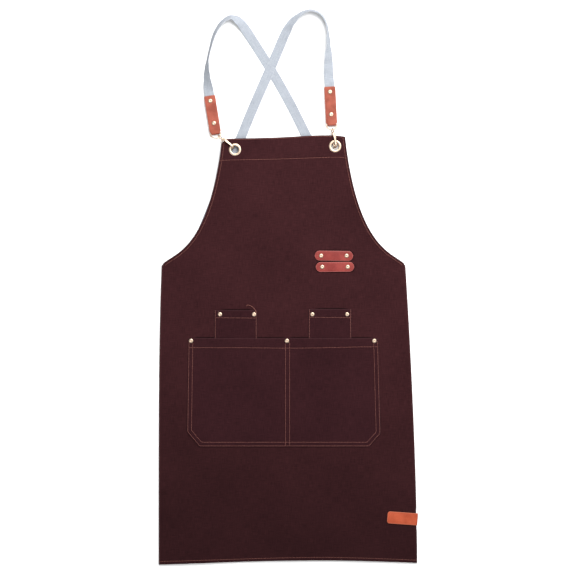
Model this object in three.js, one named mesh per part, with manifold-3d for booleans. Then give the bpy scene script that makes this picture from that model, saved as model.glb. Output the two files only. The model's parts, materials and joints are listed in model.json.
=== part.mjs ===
// Butcher apron lying flat, front face up: a canvas panel with pockets, webbing shoulder straps that
// cross behind the bib, and leather tabs whose swivel snap hooks clip into grommets in the bib.
// Millimetres. +X to the wearer's left, +Y towards the bib's top edge, +Z up, off the surface it lies on.
import * as THREE from "three";
import { mergeVertices } from "three/addons/utils/BufferGeometryUtils.js";
import Module from "manifold-3d";

const wasm = await Module();
wasm.setup();
const degree = Math.PI / 180;

// Clearance kept between pieces that touch on the real apron.
const gap = 0.3;

// Cloth panel
const cloth = 0.9;
const bibHeight = 866;
const bibTopHalf = 125.6;
const topTilt = 0.016;
const cornerFold = 9.5;
const waistHeight = bibHeight - 260;
const waistHalf = 248.5;
const armholeHandles = [
  [waistHalf - 96.5, waistHeight + 21],
  [waistHalf - 18.5, waistHeight + 25],
];
const hemHalf = { left: waistHalf + 6, right: waistHalf + 24 };
const flare = { left: 4, right: 1.6 };
const wingWidth = 56;
const wingSlope = 0.56;

// The bib rises to its top hem, which the hooks prop up: heights up the apron where it starts and ends.
const hemZone = { from: bibHeight - 226, to: bibHeight - 58, lift: 6.25 };

// Webbing
const webbing = { width: 20, thick: 1.3 };

// Leather. The tabs take the webbing doubled between their legs.
const tab = {
  length: 80,
  width: webbing.width + 3,
  thick: 1.8,
  throat: 2 * webbing.thick + 2 * gap,
  rivetTop: 10.7,
  rivetFold: 23.3,
  corner: 2,
};
const loop = { length: 78, width: 20, thick: 1.8, rivetInset: 13 };
const label = { y: 88.5, front: 60, back: 18, height: 24.5, thick: 1.2 };

// Metal fittings
const rivet = { cap: 4.5, dome: 1.8, post: 1.5, foot: 4.5, footThick: 0.8 };
const grommet = { hole: 7.5, wall: 0.6, flange: 12.5, rise: 1.4, washer: 11.5, washerThick: 0.6 };
const dRing = { wire: 1.2, radius: webbing.width / 2 + 0.4, leg: 2.5, corner: 2.4 };
const eye = { core: 3.9, tube: 1.05, stem: 1.35, head: 2.3, tilt: 12 };
const hook = { bow: 6.3, reach: 37, bar: 1.2, barWidth: 2, tip: 23.2, barrel: 3.6 };
const gate = { pivot: 14.6, tip: 24.6, bar: 0.7, barWidth: 1.6, tongue: 0.9, pin: 0.5 };

// Where each shoulder's fittings sit. heading and lean are measured from straight down the apron,
// play is how far the bow lies short of its grommet's centre.
const shoulders = {
  left: {
    grommet: [26.6 - bibTopHalf, bibHeight - 25],
    heading: 50,
    lean: 9.1,
    play: 4.3,
    roll: 20,
  },
  right: {
    grommet: [bibTopHalf - 20.6, bibHeight - 18],
    heading: 9,
    lean: 2.9,
    play: -3.2,
    roll: 20,
  },
};

// Pockets and towel loops on the panel
const bigPocket = {
  left: 52 - waistHalf,
  right: waistHalf - 52.5,
  top: waistHeight - 150,
  bottom: waistHeight - 371,
  bevel: [25, 31],
};
const bigPocketRivets = [bigPocket.left + 8, 7, bigPocket.right - 11];
const pocketRivetDrop = 4.5;
const penPockets = {
  left: { left: -138.5, right: -54, top: bigPocket.top + 56, rivets: [-129.5, -60], drop: 6.5 },
  right: { left: 52.6, right: 137.7, top: bigPocket.top + 59, rivets: [58.8, 129.7], drop: 9.5 },
};
const penPocketFoot = bigPocket.top - 96;
const loops = {
  upper: [102.6, waistHeight - 3.8 + loop.width + 2.7],
  lower: [104.8, waistHeight - 3.8],
};

// Heights that follow from the layers: wing, webbing, panel.
const panelUnder = cloth + gap + webbing.thick + gap;
const panelTop = panelUnder + cloth;
const bibUnder = panelUnder + hemZone.lift;
const hookAxis = bibUnder + cloth / 2 + 0.1;
const crossingBase = webbing.thick + gap;
const tabFoot = rivet.footThick + gap;
const tabMiddle = tabFoot + tab.thick + tab.throat / 2;
const tabTop = tabMiddle + tab.throat / 2 + tab.thick;
const postHole = rivet.post + gap;
const foldRadius = tab.throat / 2 + tab.thick;

const finishes = {
  canvas: { color: 0x4a2a2e, roughness: 0.9, metalness: 0 },
  pocketCanvas: { color: 0x402427, roughness: 0.9, metalness: 0 },
  webbing: { color: 0xcbd0dc, roughness: 0.85, metalness: 0 },
  leather: { color: 0xc5705f, roughness: 0.55, metalness: 0 },
  paleGold: { color: 0xe8cfae, roughness: 0.25, metalness: 1 },
};

const apron = new THREE.Group();

function finish(kind) {
  return new THREE.MeshStandardMaterial(finishes[kind]);
}

function add(name, geometry, kind, parent = apron) {
  const mesh = new THREE.Mesh(geometry, finish(kind));
  mesh.name = name;
  parent.add(mesh);
  return mesh;
}

// A geometry as a solid for joining and cutting, turned right side out where it was built inside out.
function solidOf(geometry) {
  const bare = new THREE.BufferGeometry();
  bare.setAttribute("position", geometry.getAttribute("position").clone());
  if (geometry.index) bare.setIndex(geometry.index.clone());
  const merged = mergeVertices(bare, 1e-4);
  const triVerts = new Uint32Array(merged.index.array);
  const vertProperties = new Float32Array(merged.attributes.position.array);
  const made = new wasm.Manifold(new wasm.Mesh({ numProp: 3, vertProperties, triVerts }));
  if (made.volume() > 0) return made;
  for (let i = 0; i < triVerts.length; i += 3) {
    [triVerts[i + 1], triVerts[i + 2]] = [triVerts[i + 2], triVerts[i + 1]];
  }
  return new wasm.Manifold(new wasm.Mesh({ numProp: 3, vertProperties, triVerts }));
}

function geometryOf(solid) {
  const mesh = solid.getMesh();
  const stride = mesh.numProp;
  const position = new Float32Array(mesh.numVert * 3);
  for (let i = 0; i < mesh.numVert; i++) {
    position.set(mesh.vertProperties.subarray(i * stride, i * stride + 3), i * 3);
  }
  const geometry = new THREE.BufferGeometry();
  geometry.setAttribute("position", new THREE.BufferAttribute(position, 3));
  geometry.setIndex(new THREE.BufferAttribute(new Uint32Array(mesh.triVerts), 1));
  geometry.computeVertexNormals();
  return geometry;
}

// A skin through rings that all have the same even count of points. An end is closed by a strip
// between the ring's first half and its second, run backwards; where ring, the last joins the first.
function loft(rings, ring = false) {
  const count = rings[0].length;
  const points = rings.flat();
  const faces = [];
  const spans = ring ? rings.length : rings.length - 1;
  for (let i = 0; i < spans; i++) {
    const here = i * count;
    const next = ((i + 1) % rings.length) * count;
    for (let j = 0; j < count; j++) {
      const k = (j + 1) % count;
      faces.push(here + j, here + k, next + k, here + j, next + k, next + j);
    }
  }
  if (!ring) {
    const last = (rings.length - 1) * count;
    for (let a = 0; a < count / 2 - 1; a++) {
      const [b, c, d] = [a + 1, count - 2 - a, count - 1 - a];
      faces.push(a, d, c, a, c, b, last + a, last + c, last + d, last + a, last + b, last + c);
    }
  }
  const geometry = new THREE.BufferGeometry().setFromPoints(points);
  geometry.setIndex(faces);
  return geometryOf(solidOf(geometry));
}

function slab(shape, low, high, curveSegments = 6) {
  const geometry = new THREE.ExtrudeGeometry(shape, {
    depth: high - low,
    bevelEnabled: false,
    curveSegments,
  });
  return geometry.translate(0, 0, low);
}

function post(x, y, radius, low, high, sides = 10) {
  const geometry = new THREE.CylinderGeometry(radius, radius, high - low, sides);
  return geometry.rotateX(Math.PI / 2).translate(x, y, (low + high) / 2);
}

function turned(profile, sides) {
  const points = profile.map(([radius, height]) => new THREE.Vector2(radius, height));
  const geometry = new THREE.LatheGeometry(points, sides);
  return solidOf(geometry.rotateX(Math.PI / 2));
}

function cut(base, tools) {
  return tools.reduce((left, tool) => left.subtract(solidOf(tool)), base);
}

// Where the panel's side edge runs at height y, from the hem to the waist.
function sideAt(side, y) {
  const share = Math.pow(Math.max(y, 0) / waistHeight, flare[side]);
  return hemHalf[side] - (hemHalf[side] - waistHalf) * share;
}

function smooth(t) {
  const s = Math.min(Math.max(t, 0), 1);
  return s * s * (3 - 2 * s);
}

// How far the bib is propped above the skirt by the hooks under its hem.
function liftAt(y) {
  return hemZone.lift * smooth((y - hemZone.from) / (hemZone.to - hemZone.from));
}

// The right wing's rise over the label's back leg: how far past the leg it reaches, how far it takes to
// come down, and how far it spreads above and below the label.
const labelRise = { past: 10, ramp: 8, spread: 6 };

// One level of the skirt: a C section whose ends fold under as wings. The right wing rises over the
// label's back leg, and both wings' top edges drop away from the fold.
function skirtRing(y) {
  const ring = [];
  const drop = wingSlope * (y / waistHeight) ** 2;
  const foldSteps = 5;
  const bumpEnd = label.back + labelRise.past;
  const layer = { left: [], right: [] };
  for (const side of ["left", "right"]) {
    const near = side === "right" && Math.abs(y - label.y) < label.height / 2 + labelRise.spread;
    const rise = near ? label.thick + gap : 0;
    const edge = sideAt(side, y);
    const radius = (panelTop - rise) / 2;
    const middle = rise + radius;
    const outer = [];
    const inner = [];
    const wing = [
      [wingWidth, 0],
      [bumpEnd + labelRise.ramp, 0],
      [bumpEnd, rise],
    ];
    for (const [inboard, height] of wing) {
      outer.push([edge - inboard, y - drop * inboard, height]);
      inner.push([edge - inboard, y - drop * inboard, height + cloth]);
    }
    for (let i = 0; i <= foldSteps; i++) {
      const turn = -Math.PI / 2 + (Math.PI * i) / foldSteps;
      const hollow = radius - cloth;
      outer.push([edge - radius + radius * Math.cos(turn), y, middle + radius * Math.sin(turn)]);
      inner.push([edge - radius + hollow * Math.cos(turn), y, middle + hollow * Math.sin(turn)]);
    }
    const sign = side === "left" ? -1 : 1;
    layer[side] = [outer, inner].map((list) => list.map(([x, v, z]) => new THREE.Vector3(sign * x, v, z)));
  }
  ring.push(...layer.left[0], ...layer.right[0].slice().reverse());
  ring.push(...layer.right[1], ...layer.left[1].slice().reverse());
  return ring;
}

function panel() {
  const labelEdge = label.height / 2 + labelRise.spread - 1;
  const rows = [0, 45, label.y - labelEdge, label.y, label.y + labelEdge, 135];
  for (let y = 180; y < waistHeight; y += 53) rows.push(y);
  rows.push(waistHeight);
  let solid = solidOf(loft(rows.map(skirtRing)));

  const armhole = new THREE.CubicBezierCurve(
    new THREE.Vector2(bibTopHalf, bibHeight),
    new THREE.Vector2(...armholeHandles[0]),
    new THREE.Vector2(...armholeHandles[1]),
    new THREE.Vector2(waistHalf, waistHeight),
  );
  const bibRows = 28;
  const bibRings = [];
  const flat = waistHalf - panelTop / 2;
  for (let i = 0; i <= bibRows; i++) {
    const edge = armhole.getPoint(1 - i / bibRows);
    const y = i === 0 ? edge.y - 5 : edge.y;
    const half = Math.min(edge.x, flat);
    const tilt = (topTilt * (y - waistHeight)) / (bibHeight - waistHeight);
    const lift = liftAt(y);
    const ring = [];
    for (const [x, z] of [
      [-half, panelUnder],
      [half, panelUnder],
      [half, panelTop],
      [-half, panelTop],
    ]) {
      ring.push(new THREE.Vector3(x, y + tilt * x, z + lift));
    }
    bibRings.push(ring);
  }
  solid = solid.add(solidOf(loft(bibRings)));
  const holes = [];
  for (const { grommet: [x, y] } of Object.values(shoulders)) {
    holes.push(post(x, y, grommet.hole + grommet.wall + gap, bibUnder - 5, bibUnder + 5, 20));
  }
  for (const [x, y] of panelRivets()) holes.push(post(x, y, postHole, panelUnder - 1, panelTop + 1));
  const corner = new THREE.Shape();
  const cornerTop = bibHeight - topTilt * bibTopHalf;
  corner.moveTo(-bibTopHalf - 5, cornerTop - cornerFold - 5);
  corner.lineTo(-bibTopHalf + cornerFold + 5, cornerTop + 5);
  corner.lineTo(-bibTopHalf - 5, cornerTop + 5);
  corner.closePath();
  holes.push(slab(corner, bibUnder - 5, bibUnder + 5));
  return geometryOf(cut(solid, holes));
}

// Every rivet that goes through the panel: its place and the height of the layer under its cap.
function panelRivets() {
  const pocketTop = panelTop + gap + cloth + gap + cloth;
  const list = bigPocketRivets.map((x) => [x, bigPocket.top - pocketRivetDrop, pocketTop]);
  for (const pocket of Object.values(penPockets)) {
    for (const x of pocket.rivets) list.push([x, pocket.top - pocket.drop, panelTop + gap + cloth]);
  }
  for (const [x, y] of Object.values(loops)) {
    for (const sign of [-1, 1]) {
      list.push([x + sign * (loop.length / 2 - loop.rivetInset), y, panelTop + gap + loop.thick]);
    }
  }
  return list;
}

function addRivet(name, x, y, under, over, parent) {
  const foot = under - gap;
  const head = over + gap;
  const tip = head + rivet.dome * 0.55;
  const bore = head + rivet.dome * 0.7;
  const capProfile = [
    [0, bore],
    [postHole, bore],
    [postHole, head],
    [rivet.cap, head],
    [rivet.cap, head + 0.5],
    [rivet.cap * 0.8, head + rivet.dome * 0.75],
    [rivet.cap * 0.4, head + rivet.dome],
    [0, head + rivet.dome],
  ];
  const footProfile = [
    [0, foot - rivet.footThick],
    [rivet.foot, foot - rivet.footThick],
    [rivet.foot, foot],
    [rivet.post, foot],
    [rivet.post, tip],
    [0, tip],
  ];
  const cap = geometryOf(turned(capProfile, 12)).translate(x, y, 0);
  const shank = geometryOf(turned(footProfile, 12)).translate(x, y, 0);
  add("rivet_cap_" + name, cap, "paleGold", parent);
  add("rivet_post_" + name, shank, "paleGold", parent);
}

function addPockets() {
  const penTop = panelTop + gap + cloth;
  const { left, right, top, bottom, bevel } = bigPocket;
  const shape = new THREE.Shape();
  shape.moveTo(left, top);
  shape.lineTo(left, bottom + bevel[1]);
  shape.lineTo(left + bevel[0], bottom);
  shape.lineTo(right - bevel[0], bottom);
  shape.lineTo(right, bottom + bevel[1]);
  shape.lineTo(right, top);
  shape.closePath();
  const holes = bigPocketRivets.map((x) => post(x, top - pocketRivetDrop, postHole, 0, 20));
  const big = cut(solidOf(slab(shape, penTop + gap, penTop + gap + cloth)), holes);
  add("front_pocket", geometryOf(big), "pocketCanvas");
  for (const [side, pocket] of Object.entries(penPockets)) {
    const pen = new THREE.Shape();
    pen.moveTo(pocket.left, penPocketFoot);
    pen.lineTo(pocket.right, penPocketFoot);
    pen.lineTo(pocket.right, pocket.top);
    pen.lineTo(pocket.left, pocket.top);
    pen.closePath();
    const penHoles = pocket.rivets.map((x) => post(x, pocket.top - pocket.drop, postHole, 0, 20));
    const made = cut(solidOf(slab(pen, panelTop + gap, penTop)), penHoles);
    add("pen_pocket_" + side, geometryOf(made), "canvas");
  }
}

function addLoops() {
  for (const [name, [x, y]] of Object.entries(loops)) {
    const radius = loop.width / 2;
    const reach = loop.length / 2 - radius;
    const shape = new THREE.Shape();
    shape.absarc(x + reach, y, radius, -Math.PI / 2, Math.PI / 2);
    shape.absarc(x - reach, y, radius, Math.PI / 2, (3 * Math.PI) / 2);
    shape.closePath();
    const low = panelTop + gap;
    const holes = [-1, 1].map((sign) =>
      post(x + sign * (loop.length / 2 - loop.rivetInset), y, postHole, 0, 20),
    );
    const strip = cut(solidOf(slab(shape, low, low + loop.thick, 8)), holes);
    add("towel_loop_" + name, geometryOf(strip), "leather");
  }
}

// A strip bent double round a fold: legs at both ends of a half circle, as a profile in y and z that
// is drawn out along x.
function foldedStrip(inner, thick, lowerLeg, upperLeg, middle, width) {
  const outer = inner + thick;
  const shape = new THREE.Shape();
  shape.moveTo(upperLeg, middle + inner);
  shape.lineTo(upperLeg, middle + outer);
  shape.lineTo(outer, middle + outer);
  shape.absarc(outer, middle, outer, Math.PI / 2, (3 * Math.PI) / 2, false);
  shape.lineTo(lowerLeg, middle - outer);
  shape.lineTo(lowerLeg, middle - inner);
  shape.lineTo(outer, middle - inner);
  shape.absarc(outer, middle, inner, (3 * Math.PI) / 2, Math.PI / 2, true);
  shape.closePath();
  const geometry = new THREE.ExtrudeGeometry(shape, { depth: width, bevelEnabled: false, curveSegments: 8 });
  const basis = new THREE.Matrix4().makeBasis(
    new THREE.Vector3(0, 1, 0),
    new THREE.Vector3(0, 0, 1),
    new THREE.Vector3(1, 0, 0),
  );
  return geometry.applyMatrix4(basis).translate(-width / 2, 0, 0);
}

function addLabel() {
  const inner = (panelTop + gap - label.thick) / 2;
  const middle = label.thick + inner;
  const strip = foldedStrip(inner, label.thick, label.back, label.front, middle, label.height);
  const edge = sideAt("right", label.y) + gap + label.thick;
  const mesh = add("side_label", strip, "leather");
  mesh.rotation.z = Math.PI / 2;
  mesh.position.set(edge, label.y, 0);
}

// A round wire along a closed flat path.
function wireLoop(path, radius, sides) {
  const rings = path.map((here, i) => {
    const before = path[(i + path.length - 1) % path.length];
    const after = path[(i + 1) % path.length];
    const along = after.clone().sub(before).normalize();
    const ring = [];
    for (let k = 0; k < sides; k++) {
      const turn = (2 * Math.PI * k) / sides;
      const out = radius * Math.cos(turn);
      ring.push(new THREE.Vector3(here.x + along.y * out, here.y - along.x * out, radius * Math.sin(turn)));
    }
    return ring;
  });
  return loft(rings, true);
}

// The D: its bar lies along x at y = 0, and its bow hangs towards -y.
function dRingPath() {
  const { radius, leg, corner } = dRing;
  const path = new THREE.Shape();
  path.moveTo(-radius + corner, 0);
  path.lineTo(radius - corner, 0);
  path.absarc(radius - corner, -corner, corner, Math.PI / 2, 0, true);
  path.lineTo(radius, -leg);
  path.absarc(0, -leg, radius, 0, -Math.PI / 2, true);
  path.absarc(0, -leg, radius, -Math.PI / 2, -Math.PI, true);
  path.lineTo(-radius, -corner);
  path.absarc(-radius + corner, -corner, corner, Math.PI, Math.PI / 2, true);
  const points = path.getPoints(5);
  return points.filter((p, i) => p.distanceTo(points[(i + 1) % points.length]) > 0.05);
}

// A flat bar bent in the plane of x and z: stations of [x, z, half thickness, half width].
function bentBar(stations, steps) {
  const line = new THREE.CatmullRomCurve3(
    stations.map(([x, z]) => new THREE.Vector3(x, 0, z)),
    false,
    "centripetal",
  );
  const rings = [];
  for (let i = 0; i <= steps; i++) {
    const t = i / steps;
    const here = line.getPoint(t);
    const along = line.getTangent(t);
    const place = t * (stations.length - 1);
    const index = Math.min(Math.floor(place), stations.length - 2);
    const share = place - index;
    const [thick, wide] = [2, 3].map(
      (k) => stations[index][k] * (1 - share) + stations[index + 1][k] * share,
    );
    const chamfer = Math.min(thick, wide) * 0.45;
    const corners = [
      [-wide + chamfer, -thick],
      [wide - chamfer, -thick],
      [wide, -thick + chamfer],
      [wide, thick - chamfer],
      [wide - chamfer, thick],
      [-wide + chamfer, thick],
      [-wide, thick - chamfer],
      [-wide, -thick + chamfer],
    ];
    rings.push(
      corners.map(
        ([across, out]) =>
          new THREE.Vector3(here.x - along.z * out, across, here.z + along.x * out),
      ),
    );
  }
  return solidOf(loft(rings));
}

// The pieces of one snap hook lie along x with the swivel's axis on it: the D-ring's wire crosses at
// x = 0, the spine is above and the gate below.
const eyeCentre = eye.core - dRing.wire - eye.tube - gap;
const barrelStart = eyeCentre + eye.core + eye.tube + gap;
const barrelWall = 1;
const barrelEnd = barrelStart + 4;
const barSide = hook.bow;
const bowCentre = hook.reach - hook.bow;

function aboutX(profile, sides) {
  const points = profile.map(([along, radius]) => new THREE.Vector2(radius, along));
  return solidOf(new THREE.LatheGeometry(points, sides).rotateZ(-Math.PI / 2));
}

function swivelEye() {
  const path = [];
  const steps = 16;
  for (let i = 0; i < steps; i++) {
    const turn = (2 * Math.PI * i) / steps;
    path.push(new THREE.Vector2(eye.core * Math.cos(turn), eye.core * Math.sin(turn)));
  }
  const ring = wireLoop(path, eye.tube, 6);
  ring.rotateX(Math.PI / 2 - eye.tilt * degree).translate(eyeCentre, 0, 0);
  const headStart = barrelStart + barrelWall + gap;
  const headEnd = barrelEnd - barrelWall - gap;
  const stem = aboutX(
    [
      [eyeCentre + eye.core, 0],
      [eyeCentre + eye.core, eye.stem],
      [headStart, eye.stem],
      [headStart, eye.head],
      [headEnd, eye.head],
      [headEnd, 0],
    ],
    14,
  );
  return geometryOf(solidOf(ring).add(stem));
}

function snapHook() {
  const bore = eye.stem + gap;
  const chamber = eye.head + gap;
  const barrel = aboutX(
    [
      [barrelStart + barrelWall, bore],
      [barrelStart, bore],
      [barrelStart, hook.barrel - 0.5],
      [barrelStart + 0.5, hook.barrel],
      [barrelEnd, hook.barrel],
      [barrelEnd, 0],
      [barrelEnd - barrelWall, 0],
      [barrelEnd - barrelWall, chamber],
      [barrelStart + barrelWall, chamber],
      [barrelStart + barrelWall, bore],
    ],
    18,
  );
  const shoulder = chamber + hook.bar + 0.2;
  const start = barrelStart + 2;
  const wide = hook.barWidth + 0.6;
  const stations = [
    [start, shoulder, hook.bar, wide],
    [barrelEnd, shoulder + 0.5, hook.bar, wide],
    [barrelEnd + 4, barSide - 0.1, hook.bar, wide],
    [barrelEnd + 10, barSide, hook.bar, hook.barWidth + 0.3],
    [bowCentre - 2, barSide, hook.bar, hook.barWidth],
  ];
  const bowSteps = 6;
  for (let i = 0; i <= bowSteps; i++) {
    const turn = Math.PI / 2 - (Math.PI * i) / bowSteps;
    stations.push([
      bowCentre + hook.bow * Math.cos(turn),
      hook.bow * Math.sin(turn),
      hook.bar,
      hook.barWidth,
    ]);
  }
  stations.push([bowCentre - 4, -barSide, hook.bar, hook.barWidth]);
  stations.push([hook.tip, -barSide - 0.4, 0.8, hook.barWidth - 0.3]);
  const spine = bentBar(stations, 26);
  const jaw = bentBar(
    [
      [start, -shoulder, hook.bar, wide],
      [barrelEnd + 1, -shoulder - 0.7, hook.bar, wide],
      [gate.pivot, -barSide, hook.bar, wide],
    ],
    5,
  );
  const boss = new THREE.CylinderGeometry(1.8, 1.8, 2 * wide, 14).translate(gate.pivot, 0, -barSide);
  const slot = new THREE.BoxGeometry(8, 2 * (gate.tongue + gap), 8);
  slot.translate(gate.pivot + 1.6, 0, -barSide - 0.4);
  const pinHole = new THREE.CylinderGeometry(gate.pin + gap, gate.pin + gap, 10, 12);
  pinHole.translate(gate.pivot, 0, -barSide);
  const cheeks = cut(jaw.add(solidOf(boss)), [slot, pinHole]);
  return geometryOf(barrel.add(spine).add(cheeks));
}

function hookGate() {
  const bar = bentBar(
    [
      [gate.pivot + 2.6, -barSide, gate.bar, gate.barWidth],
      [gate.tip - 3.6, -barSide + 0.1, gate.bar, gate.barWidth],
      [gate.tip - 2, -barSide + 1.4, gate.bar, gate.barWidth],
      [gate.tip, -barSide + 1.9, gate.bar, gate.barWidth],
    ],
    10,
  );
  const tongueBar = bentBar(
    [
      [gate.pivot, -barSide, gate.bar + 0.1, gate.tongue],
      [gate.pivot + 1.8, -barSide, gate.bar + 0.1, gate.tongue],
      [gate.pivot + 3.4, -barSide, gate.bar, gate.tongue],
    ],
    3,
  );
  const knuckle = new THREE.CylinderGeometry(1.5, 1.5, 2 * gate.tongue, 14);
  knuckle.translate(gate.pivot, 0, -barSide);
  const pinHole = new THREE.CylinderGeometry(gate.pin + gap, gate.pin + gap, 10, 12);
  pinHole.translate(gate.pivot, 0, -barSide);
  return geometryOf(cut(bar.add(tongueBar).add(solidOf(knuckle)), [pinHole]));
}

function gatePin() {
  const half = hook.barWidth + 0.6;
  const pin = new THREE.CylinderGeometry(gate.pin, gate.pin, 2 * half, 12);
  const heads = [-1, 1].map((sign) =>
    new THREE.CylinderGeometry(1.1, 1.1, 0.4, 12).translate(0, sign * (half + gap + 0.2), 0),
  );
  const rod = new THREE.CylinderGeometry(gate.pin, gate.pin, 2 * (half + gap + 0.2), 12);
  const solid = heads.reduce((all, head) => all.add(solidOf(head)), solidOf(pin).add(solidOf(rod)));
  return geometryOf(solid).translate(gate.pivot, 0, -barSide);
}

// A leaf that stands on the jaw and bears on the gate's knuckle from the barrel's side.
function gateSpring() {
  const x = gate.pivot - 2.1;
  return new THREE.BoxGeometry(0.3, 2 * gate.tongue - 0.4, 3.4).translate(x, 0, -barSide + 0.2);
}

function grommetFront() {
  const { hole, wall, flange, rise } = grommet;
  const outside = hole + wall;
  const face = cloth + gap;
  const foot = -(gap + grommet.washerThick + gap);
  const curl = 0.3;
  return geometryOf(
    turned(
      [
        [hole, foot - curl],
        [outside + 1.2, foot - curl],
        [outside + 1.2, foot],
        [outside, foot],
        [outside, face],
        [flange, face],
        [flange, face + 0.4],
        [flange - 1.3, face + rise * 0.8],
        [(flange + hole) / 2, face + rise],
        [hole + 0.8, face + rise * 0.75],
        [hole, face + 0.2],
        [hole, foot - curl],
      ],
      20,
    ),
  );
}

function grommetWasher() {
  const inside = grommet.hole + grommet.wall + gap;
  const top = -gap;
  const bottom = top - grommet.washerThick;
  return geometryOf(
    turned(
      [
        [inside, bottom],
        [grommet.washer, bottom],
        [grommet.washer, top],
        [inside, top],
        [inside, bottom],
      ],
      20,
    ),
  );
}

function leatherTab() {
  const strip = solidOf(foldedStrip(tab.throat / 2, tab.thick, tab.length, tab.length, tabMiddle, tab.width));
  const half = tab.width / 2;
  const waist = dRing.radius - dRing.wire - 0.4;
  const notch = foldRadius + dRing.wire + 0.6;
  const outline = new THREE.Shape();
  outline.moveTo(-waist, -1);
  outline.lineTo(waist, -1);
  outline.lineTo(waist, notch);
  outline.lineTo(half, notch);
  outline.lineTo(half, tab.length - tab.corner);
  outline.lineTo(half - tab.corner, tab.length);
  outline.lineTo(-half + tab.corner, tab.length);
  outline.lineTo(-half, tab.length - tab.corner);
  outline.lineTo(-half, notch);
  outline.lineTo(-waist, notch);
  outline.closePath();
  const trimmed = strip.intersect(solidOf(slab(outline, -1, 20)));
  const holes = [tab.rivetFold, tab.length - tab.rivetTop].map((y) => post(0, y, postHole, -1, 20));
  return geometryOf(cut(trimmed, holes));
}

// The frames of one shoulder's fittings, worked back from its grommet: hook, then D-ring, then tab.
function shoulderFrames(side) {
  const { grommet: [gx, gy], heading, lean, play } = shoulders[side];
  const along = new THREE.Vector2(Math.sin(heading * degree), -Math.cos(heading * degree));
  const wire = new THREE.Vector2(gx, gy).addScaledVector(along, -(hook.reach + play));
  const around = (heading - lean) * degree;
  const reach = dRing.leg + dRing.radius * Math.cos(around);
  const rise = Math.asin((hookAxis - tabMiddle) / reach);
  const down = new THREE.Vector2(Math.sin(lean * degree), -Math.cos(lean * degree));
  const across = new THREE.Vector2(-down.y, down.x);
  const bar = wire.clone();
  bar.addScaledVector(down, -reach * Math.cos(rise));
  bar.addScaledVector(across, -dRing.radius * Math.sin(around));
  const fold = bar.clone().addScaledVector(down, foldRadius);
  return { wire, bar, fold, rise, down, heading, lean };
}

function addShoulder(side) {
  const { grommet: [gx, gy], roll } = shoulders[side];
  const { wire, bar, fold, rise, heading, lean } = shoulderFrames(side);
  const turn = lean * degree;

  const tabGroup = new THREE.Group();
  tabGroup.position.set(fold.x, fold.y, 0);
  tabGroup.rotation.z = turn;
  apron.add(tabGroup);
  add("leather_tab_" + side, leatherTab(), "leather", tabGroup);
  addRivet("tab_fold_" + side, 0, tab.rivetFold, tabFoot, tabTop, tabGroup);
  addRivet("tab_top_" + side, 0, tab.length - tab.rivetTop, tabFoot, tabTop, tabGroup);

  const dGroup = new THREE.Group();
  dGroup.position.set(bar.x, bar.y, tabMiddle);
  dGroup.rotation.set(-rise, 0, turn, "ZYX");
  apron.add(dGroup);
  add("d_ring_" + side, wireLoop(dRingPath(), dRing.wire, 6), "paleGold", dGroup);

  const hookGroup = new THREE.Group();
  hookGroup.position.set(wire.x, wire.y, hookAxis);
  hookGroup.rotation.set(-roll * degree, 0, (heading - 90) * degree, "ZYX");
  apron.add(hookGroup);
  add("swivel_eye_" + side, swivelEye(), "paleGold", hookGroup);
  add("snap_hook_" + side, snapHook(), "paleGold", hookGroup);
  add("hook_gate_" + side, hookGate(), "paleGold", hookGroup);
  add("gate_pin_" + side, gatePin(), "paleGold", hookGroup);
  add("gate_spring_" + side, gateSpring(), "paleGold", hookGroup);

  add("grommet_" + side, grommetFront(), "paleGold").position.set(gx, gy, bibUnder);
  add("grommet_washer_" + side, grommetWasher(), "paleGold").position.set(gx, gy, bibUnder);
}

// Stations of one strap after its tab: x as a share of half the bib's top, y above the bib's top, lean
// in degrees off the surface, and the height of its lower edge as a share of the crossing's. It stands
// on its outer edge round the shoulder and lies flat from there on.
const strapRuns = {
  left: [
    [-1.242, 123, 46, 0],
    [-1.242, 142, 64, 0],
    [-1.226, 160, 78, 0],
    [-1.182, 184, 76, 0],
    [-1.143, 203, 71, 0],
    [-1.079, 221, 68, 0],
    [-0.987, 236, 66, 0],
    [-0.852, 245, 60, 0],
    [-0.725, 237, 32, 0],
    [-0.621, 221, 8, 0],
    [-0.462, 190, 0, 0],
    [-0.207, 139, 0, 0],
    [0.114, 68, 0, 0],
    [0.373, 3, 0, 0],
  ],
  right: [
    [0.734, 126, 8, 0.4],
    [0.731, 148, 24, 0],
    [0.731, 168, 44, 0],
    [0.729, 191, 66, 0],
    [0.713, 221, 79, 0],
    [0.688, 235, 80, 0],
    [0.597, 252, 77, 0],
    [0.43, 259, 74, 0],
    [0.271, 251, 64, 0],
    [0.127, 234, 44, 0.1],
    [0.036, 214, 20, 0.6],
    [-0.088, 178, 1, 1],
    [-0.203, 144, 0, 1],
    [-0.318, 111, 0, 1],
    [-0.51, 56, 0, 0.25],
    [-0.682, 3, 0, 0],
  ],
};

// Each strap ends sewn between panel and wing, this far in from the waist's corner and below it.
const strapLandings = { left: waistHalf - 40.6, right: 31.4 - waistHalf };
const landingDrop = 58;

// Places along the hidden run, as shares of it, and how high the strap lies there.
const hiddenRun = [
  [0.312, 0],
  [0.623, 0],
  [0.794, 0],
  [0.888, 1],
  [1, 1],
];

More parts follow.
